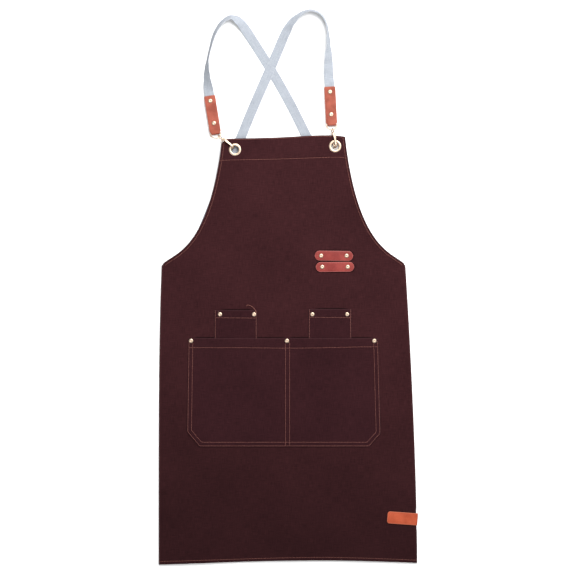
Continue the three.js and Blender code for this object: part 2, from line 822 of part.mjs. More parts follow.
function addStrap(side, far) {
  const { fold, lean } = shoulderFrames(side);
  const up = new THREE.Vector2(-Math.sin(lean * degree), Math.cos(lean * degree));
  const inTab = (distance) => fold.clone().addScaledVector(up, distance);
  const doubled = 2 * webbing.thick;
  const rest = tabMiddle - doubled / 2;
  const stations = [];
  for (const [distance, thick, base] of [
    [foldRadius + 9, doubled, rest],
    [tab.length / 2, doubled, rest],
    [tab.length - 6, doubled, rest],
    [tab.length + 4, webbing.thick, rest + 0.6],
  ]) {
    const p = inTab(distance);
    stations.push([p.x, p.y, 0, base, thick]);
  }
  for (const [out, above, angle, base] of strapRuns[side]) {
    stations.push([out * bibTopHalf, bibHeight + above, angle, base * crossingBase, webbing.thick]);
  }
  const [entryX, entryY] = stations.at(-1);
  const runX = strapLandings[side] - entryX;
  const runY = waistHeight - landingDrop - entryY;
  for (const [share, layers] of hiddenRun) {
    const base = layers * (cloth + gap);
    stations.push([entryX + share * runX, entryY + share * runY, 0, base, webbing.thick]);
  }
  const line = new THREE.CatmullRomCurve3(
    stations.map(([x, y]) => new THREE.Vector3(x, y, 0)),
    false,
    "centripetal",
  );
  const inner = side === "left" ? 1 : -1;
  const rings = [];
  const perSpan = 2;
  for (let i = 0; i < stations.length - 1; i++) {
    const steps = i === stations.length - 2 ? perSpan + 1 : perSpan;
    for (let k = 0; k < steps; k++) {
      const share = k / perSpan;
      const t = (i + share) / (stations.length - 1);
      const here = line.getPoint(t);
      const along = line.getTangent(t);
      const [angle, base, thick] = [2, 3, 4].map(
        (n) => stations[i][n] + (stations[i + 1][n] - stations[i][n]) * (n === 4 ? share : smooth(share)),
      );
      const tip = angle * degree;
      const across = new THREE.Vector3(along.y * inner, -along.x * inner, 0);
      across.multiplyScalar(Math.cos(tip)).setZ(Math.sin(tip));
      const out = new THREE.Vector3().crossVectors(along, across).multiplyScalar(inner * -1);
      const half = webbing.width / 2;
      here.z = base + half * Math.sin(tip) + (thick / 2) * Math.cos(tip);
      rings.push(
        [
          [-half, -thick / 2],
          [half, -thick / 2],
          [half, thick / 2],
          [-half, thick / 2],
        ].map(([a, b]) => here.clone().addScaledVector(across, a).addScaledVector(out, b)),
      );
    }
  }
  let solid = solidOf(loft(rings));
  const holes = [tab.rivetFold, tab.length - tab.rivetTop].map((distance) => {
    const p = inTab(distance);
    return post(p.x, p.y, postHole, 0, 20);
  });
  solid = cut(solid, holes);
  add("strap_" + far, geometryOf(solid), "webbing");
}

add("apron_panel", panel(), "canvas");
addPockets();
addLoops();
addLabel();
for (const side of Object.keys(shoulders)) addShoulder(side);
addStrap("left", "from_left_shoulder");
addStrap("right", "from_right_shoulder");

const rivetNames = [
  "pocket_left",
  "pocket_middle",
  "pocket_right",
  "pen_left_outer",
  "pen_left_inner",
  "pen_right_inner",
  "pen_right_outer",
  "loop_upper_inner",
  "loop_upper_outer",
  "loop_lower_inner",
  "loop_lower_outer",
];
panelRivets().forEach(([x, y, over], i) => addRivet(rivetNames[i], x, y, panelUnder, over, apron));

// The origin is the middle of the whole apron's footprint, on the surface it lies on.
const box = new THREE.Box3().setFromObject(apron, true);
const centre = box.getCenter(new THREE.Vector3());
const placed = new THREE.Group();
apron.position.set(-centre.x, -centre.y, -box.min.z);
placed.add(apron);

export default placed;
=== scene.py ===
import json
import math

import bpy
import numpy as np
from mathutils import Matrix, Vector


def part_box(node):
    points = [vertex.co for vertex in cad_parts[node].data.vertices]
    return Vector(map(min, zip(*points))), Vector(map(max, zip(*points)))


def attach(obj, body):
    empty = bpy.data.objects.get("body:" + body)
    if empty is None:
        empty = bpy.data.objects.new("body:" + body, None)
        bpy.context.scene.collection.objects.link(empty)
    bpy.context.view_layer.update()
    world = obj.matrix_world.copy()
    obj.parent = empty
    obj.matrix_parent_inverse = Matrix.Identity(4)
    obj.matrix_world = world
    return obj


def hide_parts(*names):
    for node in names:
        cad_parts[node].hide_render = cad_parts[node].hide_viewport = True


# A butcher apron laid flat, front face up. Shapes are worked out in millimetres from the middle of the
# hem, x across and y up the apron, and toRow moves them to where the frame holds the apron.
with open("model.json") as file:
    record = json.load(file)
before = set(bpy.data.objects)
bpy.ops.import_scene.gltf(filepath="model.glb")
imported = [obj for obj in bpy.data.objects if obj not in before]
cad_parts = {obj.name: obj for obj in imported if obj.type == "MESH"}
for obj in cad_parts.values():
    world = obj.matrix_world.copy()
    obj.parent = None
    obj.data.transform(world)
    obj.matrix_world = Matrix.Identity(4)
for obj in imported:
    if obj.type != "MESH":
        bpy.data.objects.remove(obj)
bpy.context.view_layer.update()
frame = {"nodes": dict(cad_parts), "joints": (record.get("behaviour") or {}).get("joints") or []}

grommetPlaces = {"left": (-99.0, 841.0), "right": (105.0, 848.0)}
seatLow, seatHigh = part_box("grommet_left")
seat = (np.array(seatLow) + np.array(seatHigh)) * 500
hemOrigin = np.array([seat[0] - grommetPlaces["left"][0], seat[1] - grommetPlaces["left"][1], 0.0])


def toRow(points):
    return (np.asarray(points, float) + hemOrigin) / 1000


# Small mathematics used by every piece.

def smooth(t):
    t = np.clip(t, 0, 1)
    return t * t * (3 - 2 * t)


def unit(v):
    return v / np.maximum(np.linalg.norm(v, axis=-1, keepdims=True), 1e-12)


def bump(distance, width):
    return np.exp(-((distance / width) ** 2))


def circleOf(count):
    return np.arange(count) / count * 2 * np.pi


# How far a rounded edge falls away, this near to it: a quarter circle.
def roundedEdge(nearest, radius):
    inside = np.clip(radius - nearest, 0, radius)
    return radius - np.sqrt(np.maximum(radius**2 - inside**2, 0))


# Distance from each point to the nearest part of a line of points, taken segment by segment.
def distanceTo(x, y, line):
    flat = np.stack([np.ravel(x), np.ravel(y)], 1)
    start, step = line[:-1], np.diff(line, axis=0)
    nearest = np.empty(len(flat))
    for first in range(0, len(flat), 4000):
        some = flat[first:first + 4000]
        away = some[:, None] - start
        share = np.clip((away * step).sum(-1) / np.maximum((step ** 2).sum(-1), 1e-9), 0, 1)
        nearest[first:first + 4000] = np.linalg.norm(away - share[..., None] * step, axis=-1).min(1)
    return nearest.reshape(np.shape(x))


# A centripetal Catmull-Rom curve through the points: between two of them a cubic whose end slopes
# come from the neighbours, weighted by the square roots of the gaps. Also gives the place along the
# points, so that other values can be read off at the same stations.
def curveThrough(points, perSpan):
    p = np.asarray(points, float)
    p = np.vstack([2 * p[0] - p[1], p, 2 * p[-1] - p[-2]])
    d = np.maximum(np.linalg.norm(np.diff(p, axis=0), axis=1) ** 0.5, 1e-4)[:, None]
    slope = np.diff(p, axis=0) / d
    away = (p[2:] - p[:-2]) / (d[:-1] + d[1:])
    inner = slope[:-1] - away + slope[1:]
    t = np.arange(perSpan) / perSpan
    h = [2 * t**3 - 3 * t**2 + 1, t**3 - 2 * t**2 + t, -2 * t**3 + 3 * t**2, t**3 - t**2]
    h = [w[None, :, None] for w in h]
    a, b = p[1:-2][:, None], p[2:-1][:, None]
    ma, mb = (inner[:-1] * d[1:-1])[:, None], (inner[1:] * d[1:-1])[:, None]
    body = (h[0] * a + h[1] * ma + h[2] * b + h[3] * mb).reshape(-1, p.shape[1])
    places = (np.arange(len(p) - 3)[:, None] + t).ravel()
    return np.vstack([body, p[-2]]), np.append(places, len(p) - 3)


# The same points spread evenly along their line.
def spread(line, spacing):
    line = np.asarray(line, float)
    run = np.append(0, np.cumsum(np.linalg.norm(np.diff(line, axis=0), axis=1)))
    at = np.linspace(0, run[-1], max(int(round(run[-1] / spacing)), 1) + 1)
    return np.stack([np.interp(at, run, line[:, k]) for k in range(line.shape[1])], 1)


# Meshes.

# Six times a shell's volume, summed over its faces as fans of triangles: negative when inside out.
def volumeOf(points, faces):
    volume = 0.0
    for f in faces:
        for k in range(1, f.shape[1] - 1):
            a, b, c = points[f[:, 0]], points[f[:, k]], points[f[:, k + 1]]
            volume += (np.cross(a, b) * c).sum()
    return volume


# One mesh object from points and faces, turned outwards where it is a closed shell that came out
# inside out. Points are in row metres; uv is one pair for each point, in metres on the cloth.
def makePiece(name, points, faces, material, uv=None, edge=None, closed=True):
    points = np.asarray(points, float)
    if closed and volumeOf(points, faces) < 0:
        faces = [f[:, ::-1] for f in faces]
    mesh = bpy.data.meshes.new(name)
    mesh.from_pydata(points.tolist(), [], [row for f in faces for row in np.asarray(f).tolist()])
    mesh.polygons.foreach_set("use_smooth", np.ones(len(mesh.polygons), bool))
    corner = np.empty(len(mesh.loops), np.int32)
    mesh.loops.foreach_get("vertex_index", corner)
    if uv is not None:
        layer = mesh.uv_layers.new(name="cloth")
        layer.data.foreach_set("uv", np.asarray(uv, np.float32)[corner].ravel())
    if edge is not None:
        mesh.attributes.new("edge", "FLOAT", "POINT").data.foreach_set("value", np.asarray(edge, np.float32))
    mesh.validate()
    piece = bpy.data.objects.new(name, mesh)
    bpy.context.scene.collection.objects.link(piece)
    mesh.materials.append(material)
    return piece


# A piece rides on its body and stands for its CAD nodes, which are hidden.
def placePiece(piece, body, slot, *nodes):
    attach(piece, body)
    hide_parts(*nodes)


# Quads between neighbouring points of a grid of rows and columns, joined round where asked.
def gridFaces(rows, columns, roundRows=False, roundColumns=False, first=0):
    i = np.arange(rows if roundRows else rows - 1)[:, None]
    j = np.arange(columns if roundColumns else columns - 1)[None, :]
    a, b = i * columns + j, i * columns + (j + 1) % columns
    below = ((i + 1) % rows) * columns
    return np.stack([a, b, below + (j + 1) % columns, below + j], -1).reshape(-1, 4) + first


# A profile carried along a path: at each station, points round a superellipse whose half sizes lie
# along the station's across and up directions. Returns the rings and each point's across distance.
def carried(path, across, up, halfWide, halfThick, count=20, power=2.0):
    turn = circleOf(count)
    c, s = np.cos(turn), np.sin(turn)
    side = np.sign(c) * np.abs(c) ** (2 / power)
    rise = np.sign(s) * np.abs(s) ** (2 / power)
    halfWide = np.broadcast_to(halfWide, len(path))[:, None]
    halfThick = np.broadcast_to(halfThick, len(path))[:, None]
    wide, thick = halfWide * side, halfThick * rise
    rings = path[:, None] + across[:, None] * wide[..., None] + up[:, None] * thick[..., None]
    return rings, wide


# A closed shell from rings: the ends are capped with one face each, or joined where it is a loop.
def shellFaces(rings, loop=False, first=0):
    rows, columns = rings.shape[:2]
    faces = [gridFaces(rows, columns, loop, True, first)]
    if not loop:
        faces.append(np.arange(columns)[None, ::-1] + first)
        faces.append(np.arange(columns)[None] + (rows - 1) * columns + first)
    return faces


# Several closed shells as one mesh object.
def makeShells(name, shells, material, frameOf=None):
    points, faces, first = [], [], 0
    for rings, loop in shells:
        some = shellFaces(rings, loop, 0)
        flat = rings.reshape(-1, 3)
        outwards = volumeOf(flat, some) > 0
        faces += [(f if outwards else f[:, ::-1]) + first for f in some]
        points.append(flat)
        first += len(flat)
    points = np.vstack(points)
    if frameOf is not None:
        origin, basis = frameOf
        points = points @ basis + origin
    return makePiece(name, toRow(points), faces, material, closed=False)


# A profile of places along an axis and radii, turned about the axis: each point becomes a circle.
def turnedShape(profile, count=28):
    line, _ = curveThrough(profile, 3)
    turn, radius = circleOf(count), np.maximum(line[:, 1:], 1e-3)
    return line[:, :1] + 0 * turn, radius * np.cos(turn), radius * np.sin(turn)


# Materials.

def mathNode(tree, operation, *values):
    node = tree.nodes.new("ShaderNodeMath")
    node.operation = operation
    for socket, value in zip(node.inputs, values):
        if isinstance(value, (int, float)):
            socket.default_value = value
        else:
            tree.links.new(value, socket)
    return node.outputs[0]


def newGroup(name, inputs, outputs):
    tree = bpy.data.node_groups.new(name, "ShaderNodeTree")
    for label, kind, value in inputs:
        socket = tree.interface.new_socket(name=label, in_out="INPUT", socket_type=kind)
        if value is not None:
            socket.default_value = value
    for label in outputs:
        tree.interface.new_socket(name=label, in_out="OUTPUT", socket_type="NodeSocketFloat")
    return tree, tree.nodes.new("NodeGroupInput").outputs, tree.nodes.new("NodeGroupOutput").inputs


def noiseNode(tree, vector, scale, detail=2.0, roughness=0.5):
    node = tree.nodes.new("ShaderNodeTexNoise")
    node.inputs["Scale"].default_value = scale
    node.inputs["Detail"].default_value = detail
    node.inputs["Roughness"].default_value = roughness
    tree.links.new(vector, node.inputs["Vector"])
    return node.outputs["Fac"]


def stretchedVector(tree, vector, x, y, z):
    node = tree.nodes.new("ShaderNodeVectorMath")
    node.operation = "MULTIPLY"
    node.inputs[1].default_value = (x, y, z)
    tree.links.new(vector, node.inputs[0])
    return node.outputs[0]


# Plain weave: yarns of both directions rise and dip as sines over each other, and the higher one
# shows. Shade varies along each yarn as thick and thin places do.
def makeWeave():
    vector, number = "NodeSocketVector", "NodeSocketFloat"
    tree, given, out = newGroup(
        "plainWeave",
        [
            ("Cloth", vector, None), ("Across yarns per metre", number, 1100.0),
            ("Along yarns per metre", number, 1100.0),
        ],
        ["Height", "Shade"],
    )
    apart = tree.nodes.new("ShaderNodeSeparateXYZ")
    tree.links.new(given["Cloth"], apart.inputs[0])

    def yarnWave(place, yarns):
        turns = mathNode(tree, "MULTIPLY", place, yarns)
        return mathNode(tree, "SINE", mathNode(tree, "MULTIPLY", turns, math.pi))

    sinP = yarnWave(apart.outputs[0], given["Across yarns per metre"])
    sinQ = yarnWave(apart.outputs[1], given["Along yarns per metre"])
    over = mathNode(tree, "MULTIPLY", sinP, sinQ)
    warp = mathNode(tree, "ADD", mathNode(tree, "ABSOLUTE", sinP), over)
    weft = mathNode(tree, "SUBTRACT", mathNode(tree, "ABSOLUTE", sinQ), over)
    height = mathNode(tree, "MULTIPLY", mathNode(tree, "MAXIMUM", warp, weft), 0.5)
    slubUp = noiseNode(tree, stretchedVector(tree, given["Cloth"], 900, 60, 1), 1.0)
    slubAcross = noiseNode(tree, stretchedVector(tree, given["Cloth"], 60, 900, 1), 1.0)
    slubs = mathNode(tree, "ADD", slubUp, slubAcross)
    tree.links.new(mathNode(tree, "ADD", height, mathNode(tree, "MULTIPLY", slubs, 0.35)), out["Height"])
    tree.links.new(mathNode(tree, "MULTIPLY", slubs, 0.5), out["Shade"])
    return tree


# Leather grain: rounded cells with creases between them, broken up by finer noise.
def makeGrain():
    tree, given, out = newGroup(
        "leatherGrain",
        [("Place", "NodeSocketVector", None), ("Cells per metre", "NodeSocketFloat", 900.0)],
        ["Height", "Shade"],
    )
    cells = tree.nodes.new("ShaderNodeTexVoronoi")
    cells.feature = "DISTANCE_TO_EDGE"
    tree.links.new(given["Place"], cells.inputs["Vector"])
    tree.links.new(given["Cells per metre"], cells.inputs["Scale"])
    creases = mathNode(tree, "MINIMUM", mathNode(tree, "MULTIPLY", cells.outputs["Distance"], 4.0), 1.0)
    fine = noiseNode(tree, given["Place"], 2600.0, 3.0)
    creased = mathNode(tree, "MULTIPLY", creases, 0.7)
    height = mathNode(tree, "ADD", creased, mathNode(tree, "MULTIPLY", fine, 0.5))
    tree.links.new(height, out["Height"])
    tree.links.new(noiseNode(tree, given["Place"], 55.0, 3.0), out["Shade"])
    return tree


# Handling marks on metal: a soft cloudy dulling with finer specks.
def makeTarnish():
    tree, given, out = newGroup(
        "handling",
        [("Place", "NodeSocketVector", None), ("Marks per metre", "NodeSocketFloat", 250.0)],
        ["Dulling", "Height"],
    )
    cloud = tree.nodes.new("ShaderNodeTexNoise")
    cloud.inputs["Detail"].default_value = 4.0
    tree.links.new(given["Place"], cloud.inputs["Vector"])
    tree.links.new(given["Marks per metre"], cloud.inputs["Scale"])
    fine = noiseNode(tree, given["Place"], 3000.0, 2.0)
    tree.links.new(cloud.outputs["Fac"], out["Dulling"])
    tree.links.new(fine, out["Height"])
    return tree


weave, grain, handling = makeWeave(), makeGrain(), makeTarnish()


def placeGroup(tree, group, vector, **values):
    node = tree.nodes.new("ShaderNodeGroup")
    node.node_tree = group
    tree.links.new(vector, node.inputs[0])
    for socket, value in zip(list(node.inputs)[1:], values.values()):
        socket.default_value = value
    return node


def newFinish(name, **constants):
    material = bpy.data.materials.new(name)
    material.use_nodes = True
    shader = material.node_tree.nodes["Principled BSDF"]
    for label, value in constants.items():
        shader.inputs[label].default_value = value
    return material, material.node_tree, shader


def objectVector(tree):
    return tree.nodes.new("ShaderNodeTexCoord").outputs["Object"]


def clothVector(tree):
    node = tree.nodes.new("ShaderNodeUVMap")
    node.uv_map = "cloth"
    return node.outputs[0]


def rampNode(tree, value, stops):
    node = tree.nodes.new("ShaderNodeValToRGB")
    ramp = node.color_ramp
    while len(ramp.elements) < len(stops):
        ramp.elements.new(0.5)
    for element, (place, colour) in zip(ramp.elements, stops):
        element.position = place
        element.color = (*colour, 1)
    tree.links.new(value, node.inputs[0])
    return node.outputs[0]


def mixColour(tree, mode, share, first, second):
    node = tree.nodes.new("ShaderNodeMix")
    node.data_type, node.blend_type = "RGBA", mode
    for socket, value in zip([node.inputs[0], node.inputs[6], node.inputs[7]], [share, first, second]):
        if isinstance(value, (int, float)):
            socket.default_value = value
        elif isinstance(value, tuple):
            socket.default_value = (*value, 1)
        else:
            tree.links.new(value, socket)
    return node.outputs[2]


def bumpInto(tree, shader, height, distance):
    node = tree.nodes.new("ShaderNodeBump")
    node.inputs["Distance"].default_value = distance
    tree.links.new(height, node.inputs["Height"])
    tree.links.new(node.outputs[0], shader.inputs["Normal"])


def pieceValue(tree, name):
    node = tree.nodes.new("ShaderNodeAttribute")
    node.attribute_name = name
    return node.outputs["Fac"]


# Cloth: two shades of one colour mixed along the yarns, paler where the edge attribute marks folds
# and hems, for rubbed wear and a painted sheen on the folds.
clothLooks = {
    "canvas": dict(
        dark=(0.0182, 0.0047, 0.0058), light=(0.0400, 0.0113, 0.0130), rubbedAndSheen=(0.068, 0.026, 0.028),
        across=1150, along=1000, relief=0.00022, hemShade=0.68,
    ),
    "pocketCanvas": dict(
        dark=(0.0155, 0.0040, 0.0053), light=(0.0336, 0.0094, 0.0118), rubbedAndSheen=(0.056, 0.022, 0.025),
        across=1150, along=1000, relief=0.00022, hemShade=0.92,
    ),
    "webbing": dict(
        dark=(0.255, 0.275, 0.31), light=(0.36, 0.385, 0.425), rubbedAndSheen=(0.40, 0.425, 0.465),
        across=620, along=900, relief=0.00045, hemShade=1.0,
    ),
}


# Painted shade: the cloth is darkened towards the hem, most of all on the left, where the light
# falls off; the bib keeps its full colour.
def paintedFalloff(tree, cloth, hemShade):
    split = tree.nodes.new("ShaderNodeSeparateXYZ")
    tree.links.new(cloth, split.inputs[0])
    place = mathNode(tree, "ADD", split.outputs["Y"], mathNode(tree, "MULTIPLY", split.outputs["X"], 0.22))
    return rampNode(tree, place, [(0.03, (hemShade,) * 3), (0.42, (1.0, 1.0, 1.0))])


def makeCloth(name):
    look = clothLooks[name]
    constants = {"Roughness": 0.92, "Specular IOR Level": 0.05, "Sheen Weight": 0.03, "Sheen Roughness": 0.5}
    material, tree, shader = newFinish(name, **constants)
    cloth = clothVector(tree)
    yarns = placeGroup(tree, weave, cloth, across=look["across"], along=look["along"])
    broad = noiseNode(tree, cloth, 9.0, 3.0)
    shade = mathNode(tree, "MULTIPLY", yarns.outputs["Shade"], 0.75)
    tone = mathNode(tree, "ADD", shade, mathNode(tree, "MULTIPLY", broad, 0.25))
    colour = rampNode(tree, tone, [(0.34, look["dark"]), (0.66, look["light"])])
    # Paler at folds and hems: rubbed wear, and a painted sheen on the folds.
    colour = mixColour(tree, "MIX", pieceValue(tree, "edge"), colour, look["rubbedAndSheen"])
    # Painted shade: the low places of the weave, between the yarns, are darkened.
    weaveShade = rampNode(tree, yarns.outputs["Height"], [(0.25, (0.55, 0.55, 0.55)), (0.7, (1.0, 1.0, 1.0))])
    colour = mixColour(tree, "MULTIPLY", 1.0, colour, weaveShade)
    # Painted shade, darker towards the hem and the left.
    colour = mixColour(tree, "MULTIPLY", 1.0, colour, paintedFalloff(tree, cloth, look["hemShade"]))
    # Painted shadow above the pocket mouths and round the towel loops, on the canvas only.
    if name == "canvas":
        colour = mixColour(tree, "MULTIPLY", pieceValue(tree, "paintedShadow"), colour, (0.30, 0.28, 0.30))
    tree.links.new(colour, shader.inputs["Base Color"])
    bumpInto(tree, shader, yarns.outputs["Height"], look["relief"])
    return material


leatherLooks = {
    "tabLeather": dict(deep=(0.210, 0.042, 0.022), pale=(0.308, 0.075, 0.045), burnished=(0.30, 0.10, 0.07)),
    "loopLeather": dict(deep=(0.180, 0.021, 0.017), pale=(0.245, 0.036, 0.029), burnished=(0.32, 0.10, 0.09)),
    "labelLeather": dict(
        deep=(0.305, 0.046, 0.015), pale=(0.405, 0.073, 0.027), burnished=(0.39, 0.11, 0.06),
    ),
}


def makeLeather(name):
    look = leatherLooks[name]
    constants = {"Specular IOR Level": 0.2, "Coat Roughness": 0.35, "Coat Weight": 0.03}
    material, tree, shader = newFinish(name, **constants)
    cells = placeGroup(tree, grain, objectVector(tree), cells=1100)
    colour = rampNode(tree, cells.outputs["Shade"], [(0.35, look["deep"]), (0.65, look["pale"])])
    # Painted shade: the grain's creases are darkened.
    creased = rampNode(tree, cells.outputs["Height"], [(0.15, (0.75, 0.7, 0.7)), (0.75, (1.0, 1.0, 1.0))])
    colour = mixColour(tree, "MULTIPLY", 1.0, colour, creased)
    colour = mixColour(tree, "MIX", pieceValue(tree, "edge"), colour, look["burnished"])
    tree.links.new(colour, shader.inputs["Base Color"])
    dull = mathNode(tree, "ADD", mathNode(tree, "MULTIPLY", cells.outputs["Shade"], 0.25), 0.42)
    tree.links.new(dull, shader.inputs["Roughness"])
    bumpInto(tree, shader, cells.outputs["Height"], 0.00008)
    return material


metalLooks = {
    "paleGold": dict(bright=(0.62, 0.475, 0.36), dulled=(0.44, 0.335, 0.25), polish=0.36),
    "springSteel": dict(bright=(0.70, 0.70, 0.70), dulled=(0.55, 0.54, 0.52), polish=0.30),
}


def makeMetal(name):
    look = metalLooks[name]
    material, tree, shader = newFinish(name, Metallic=1.0)
    marks = placeGroup(tree, handling, objectVector(tree), marks=260)
    colour = rampNode(tree, marks.outputs["Dulling"], [(0.35, look["bright"]), (0.72, look["dulled"])])
    tree.links.new(colour, shader.inputs["Base Color"])
    rough = mathNode(tree, "ADD", mathNode(tree, "MULTIPLY", marks.outputs["Dulling"], 0.2), look["polish"])
    tree.links.new(rough, shader.inputs["Roughness"])
    bumpInto(tree, shader, marks.outputs["Height"], 0.00001)
    return material


def makeThread():
    material, tree, shader = newFinish("topstitchThread", Roughness=0.6, **{"Specular IOR Level": 0.3})
    place = objectVector(tree)
    tone, fibre = noiseNode(tree, place, 260.0), noiseNode(tree, place, 4200.0)
    colour = rampNode(tree, tone, [(0.3, (0.190, 0.066, 0.050)), (0.7, (0.300, 0.118, 0.090))])
    tree.links.new(colour, shader.inputs["Base Color"])
    bumpInto(tree, shader, fibre, 0.0001)
    return material


canvas, pocketCanvas, webbingCloth = makeCloth("canvas"), makeCloth("pocketCanvas"), makeCloth("webbing")
tabLeather, loopLeather = makeLeather("tabLeather"), makeLeather("loopLeather")
labelLeather = makeLeather("labelLeather")
paleGold, springSteel, thread = makeMetal("paleGold"), makeMetal("springSteel"), makeThread()
print("finishes made")


# Camera, floor and light.

studio = {
    "cameraHeight": 6.0, "viewWidth": 1.175, "aim": (-0.0002, -0.005),
    "dome": 0.42,
    "topPanel": dict(place=(0.55, 1.4, 1.75), aim=(0.05, 0.25, 0.0), size=1.7, power=98.0),
    "key": dict(place=(-1.5, -1.3, 2.4), aim=(0.0, -0.1, 0.0), size=1.2, power=20.0),
    "fill": dict(place=(1.6, -0.6, 3.0), aim=(0.1, -0.1, 0.0), size=2.4, power=24.0),
}


def makeStudio():
    camera = bpy.data.cameras.new("camera")
    camera.sensor_width = 36
    camera.lens = 36 * studio["cameraHeight"] / studio["viewWidth"]
    camera.clip_end = 100
    view = bpy.data.objects.new("camera", camera)
    view.location = (*studio["aim"], studio["cameraHeight"])
    bpy.context.scene.collection.objects.link(view)
    bpy.context.scene.camera = view
    for name in ("topPanel", "key", "fill"):
        look = studio[name]
        lamp = bpy.data.lights.new(name, "AREA")
        lamp.shape, lamp.size, lamp.energy = "DISK", look["size"], look["power"]
        holder = bpy.data.objects.new(name, lamp)
        holder.location = look["place"]
        towards = np.array(look["aim"]) - np.array(look["place"])
        holder.rotation_euler = Vector(towards.tolist()).to_track_quat("-Z", "Y").to_euler()
        bpy.context.scene.collection.objects.link(holder)
    world = bpy.data.worlds.new("dome")
    world.use_nodes = True
    world.node_tree.nodes["Background"].inputs[0].default_value = (1, 1, 1, 1)
    world.node_tree.nodes["Background"].inputs[1].default_value = studio["dome"]
    bpy.context.scene.world = world
    bpy.context.scene.view_settings.view_transform = "Standard"
    paper, tree, shader = newFinish("paperFloor", Roughness=0.9, **{"Specular IOR Level": 0.1})
    mottle = noiseNode(tree, objectVector(tree), 3.0)
    colour = rampNode(tree, mottle, [(0.3, (0.925, 0.925, 0.925)), (0.7, (0.935, 0.935, 0.935))])
    tree.links.new(colour, shader.inputs["Base Color"])
    edge = np.linspace(-4, 4, 9)
    x, y = np.meshgrid(edge, edge)
    ground = np.stack([x, y, 0 * x - 0.0003], -1).reshape(-1, 3)
    floor = makePiece("floor", ground, [gridFaces(9, 9)], paper, closed=False)


makeStudio()
print("studio set")


# Stitching.

stitch = {"pitch": 3.1, "length": 2.5, "wide": 0.62, "high": 0.46, "sink": 0.02}


# Rows of thread: each stitch is a small capsule that lies along its seam and dips at both ends.
# surface gives points for flat places, and the cloth's normal comes from its slopes there.
def sewRows(name, rows, surface, material, body="apron"):
    step, half = 0.3, stitch["length"] / 2
    ringTurn = circleOf(6)
    along = np.array([-1.0, -0.78, -0.3, 0.3, 0.78, 1.0])
    girth = np.array([0.15, 0.75, 1.0, 1.0, 0.75, 0.15])
    allPoints, allFaces, first = [], [], 0
    capsule = [gridFaces(6, 6, False, True), np.arange(6)[None, ::-1], np.arange(6)[None] + 30]
    for row in rows:
        line = spread(row, stitch["pitch"])
        middle = (line[:-1] + line[1:]) / 2
        heading = unit(line[1:] - line[:-1])
        x, y = middle[:, 0], middle[:, 1]
        centre = surface(x, y)
        eastward = surface(x + step, y) - surface(x - step, y)
        northward = surface(x, y + step) - surface(x, y - step)
        normal = unit(np.cross(eastward, northward))
        forward = unit(
            surface(x + heading[:, 0] * step, y + heading[:, 1] * step)
            - surface(x - heading[:, 0] * step, y - heading[:, 1] * step)
        )
        sideways = np.cross(normal, forward)
        wobble = 1 + 0.06 * np.sin(np.arange(len(middle)) * 2.4)
        a = (along * half)[None, :, None] * wobble[:, None, None]
        b = (girth[:, None] * np.cos(ringTurn) * stitch["wide"] / 2)[None]
        dip = stitch["high"] * 0.55 * (1 - along**2) - stitch["sink"]
        c = (girth[:, None] * np.sin(ringTurn) * stitch["high"] / 2 + dip[:, None])[None]
        points = centre[:, None, None] + forward[:, None, None] * a[..., None]
        points = points + sideways[:, None, None] * b[..., None] + normal[:, None, None] * c[..., None]
        count = len(middle)
        shift = (np.arange(count) * 36)[:, None, None] + first
        for face in capsule:
            allFaces.append((face[None] + shift).reshape(-1, face.shape[1]))
        allPoints.append(points.reshape(-1, 3))
        first += count * 36
    points = np.vstack(allPoints)
    probe = capsule[0]
    shell = points[:36]
    centreOf = shell.mean(0)
    outward = np.cross(shell[probe[:, 1]] - shell[probe[:, 0]], shell[probe[:, 2]] - shell[probe[:, 0]])
    if (outward * (shell[probe[:, 0]] - centreOf)).sum() < 0:
        allFaces = [f[:, ::-1] for f in allFaces]
    piece = makePiece(name, toRow(points), allFaces, material, closed=False)
    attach(piece, body)
    return piece


# Panel.

panel = {
    "height": 866.0, "topHalf": 125.6, "topTilt": 0.016, "waistHeight": 606.0, "waistHalf": 248.5,
    "handles": ((152.0, 627.0), (230.0, 631.0)),
    "hemHalf": {"left": 254.5, "right": 272.5}, "flare": {"left": 4.0, "right": 1.6},
    "frontHeight": 3.7, "cloth": 0.9, "wing": 56.0, "wingSlope": 0.56,
    "liftFrom": 640.0, "liftTo": 808.0, "lift": 6.25,
    "armholeHem": 6.8, "bottomHem": 7.8, "topHem": 45.4, "hemRise": 0.45,
    "labelHeight": 88.5, "labelRise": 1.5,
    "topPlaces": (-126.0, -79.0, -12.0, 49.0, 90.0, 126.0), "topRise": (-1.6, -0.4, 0.0, 3.0, 2.5, -0.4),
    "bowPlaces": (-252.0, -169.0, -118.0, -67.0, -27.0, 14.0, 55.0, 130.0, 198.0, 252.0),
    "bowRise": (-5.0, -1.8, 0.0, 0.6, 2.3, 3.5, 4.0, 2.9, 1.2, -0.5),
    "waves": 0.55, "cornerFold": 9.5, "cornerTurn": 0.95,
    "seams": {"left": 5.6, "right": 4.9, "bottom": 6.1, "top": 43.9},
}


def sideHalf(a, y):
    left, right = panel["hemHalf"]["left"], panel["hemHalf"]["right"]
    half = np.where(a < 0, left, right)
    flare = np.where(a < 0, panel["flare"]["left"], panel["flare"]["right"])
    share = (np.clip(y, 0, panel["waistHeight"]) / panel["waistHeight"]) ** flare
    return half - (half - panel["waistHalf"]) * share


foldRadius = panel["frontHeight"] / 2


def armholeLine(sign):
    t = np.linspace(0, 1, 90)[:, None]
    points = [
        (panel["topHalf"], panel["height"]), *panel["handles"],
        (panel["waistHalf"], panel["waistHeight"]),
    ]
    p = [np.array(q) for q in points]
    curve = p[0] * (1 - t) ** 3 + 3 * p[1] * t * (1 - t) ** 2 + 3 * p[2] * t**2 * (1 - t) + p[3] * t**3
    curve = curve[curve[:, 0] <= panel["waistHalf"] - foldRadius]
    corner = np.array([panel["waistHalf"] - foldRadius, panel["waistHeight"]])
    wing = corner + np.array([[0, 0], [62.0, -62.0 * panel["wingSlope"]]])
    line = np.vstack([curve, wing])
    return line * np.array([sign, 1])


armholes = {"left": armholeLine(-1), "right": armholeLine(1)}


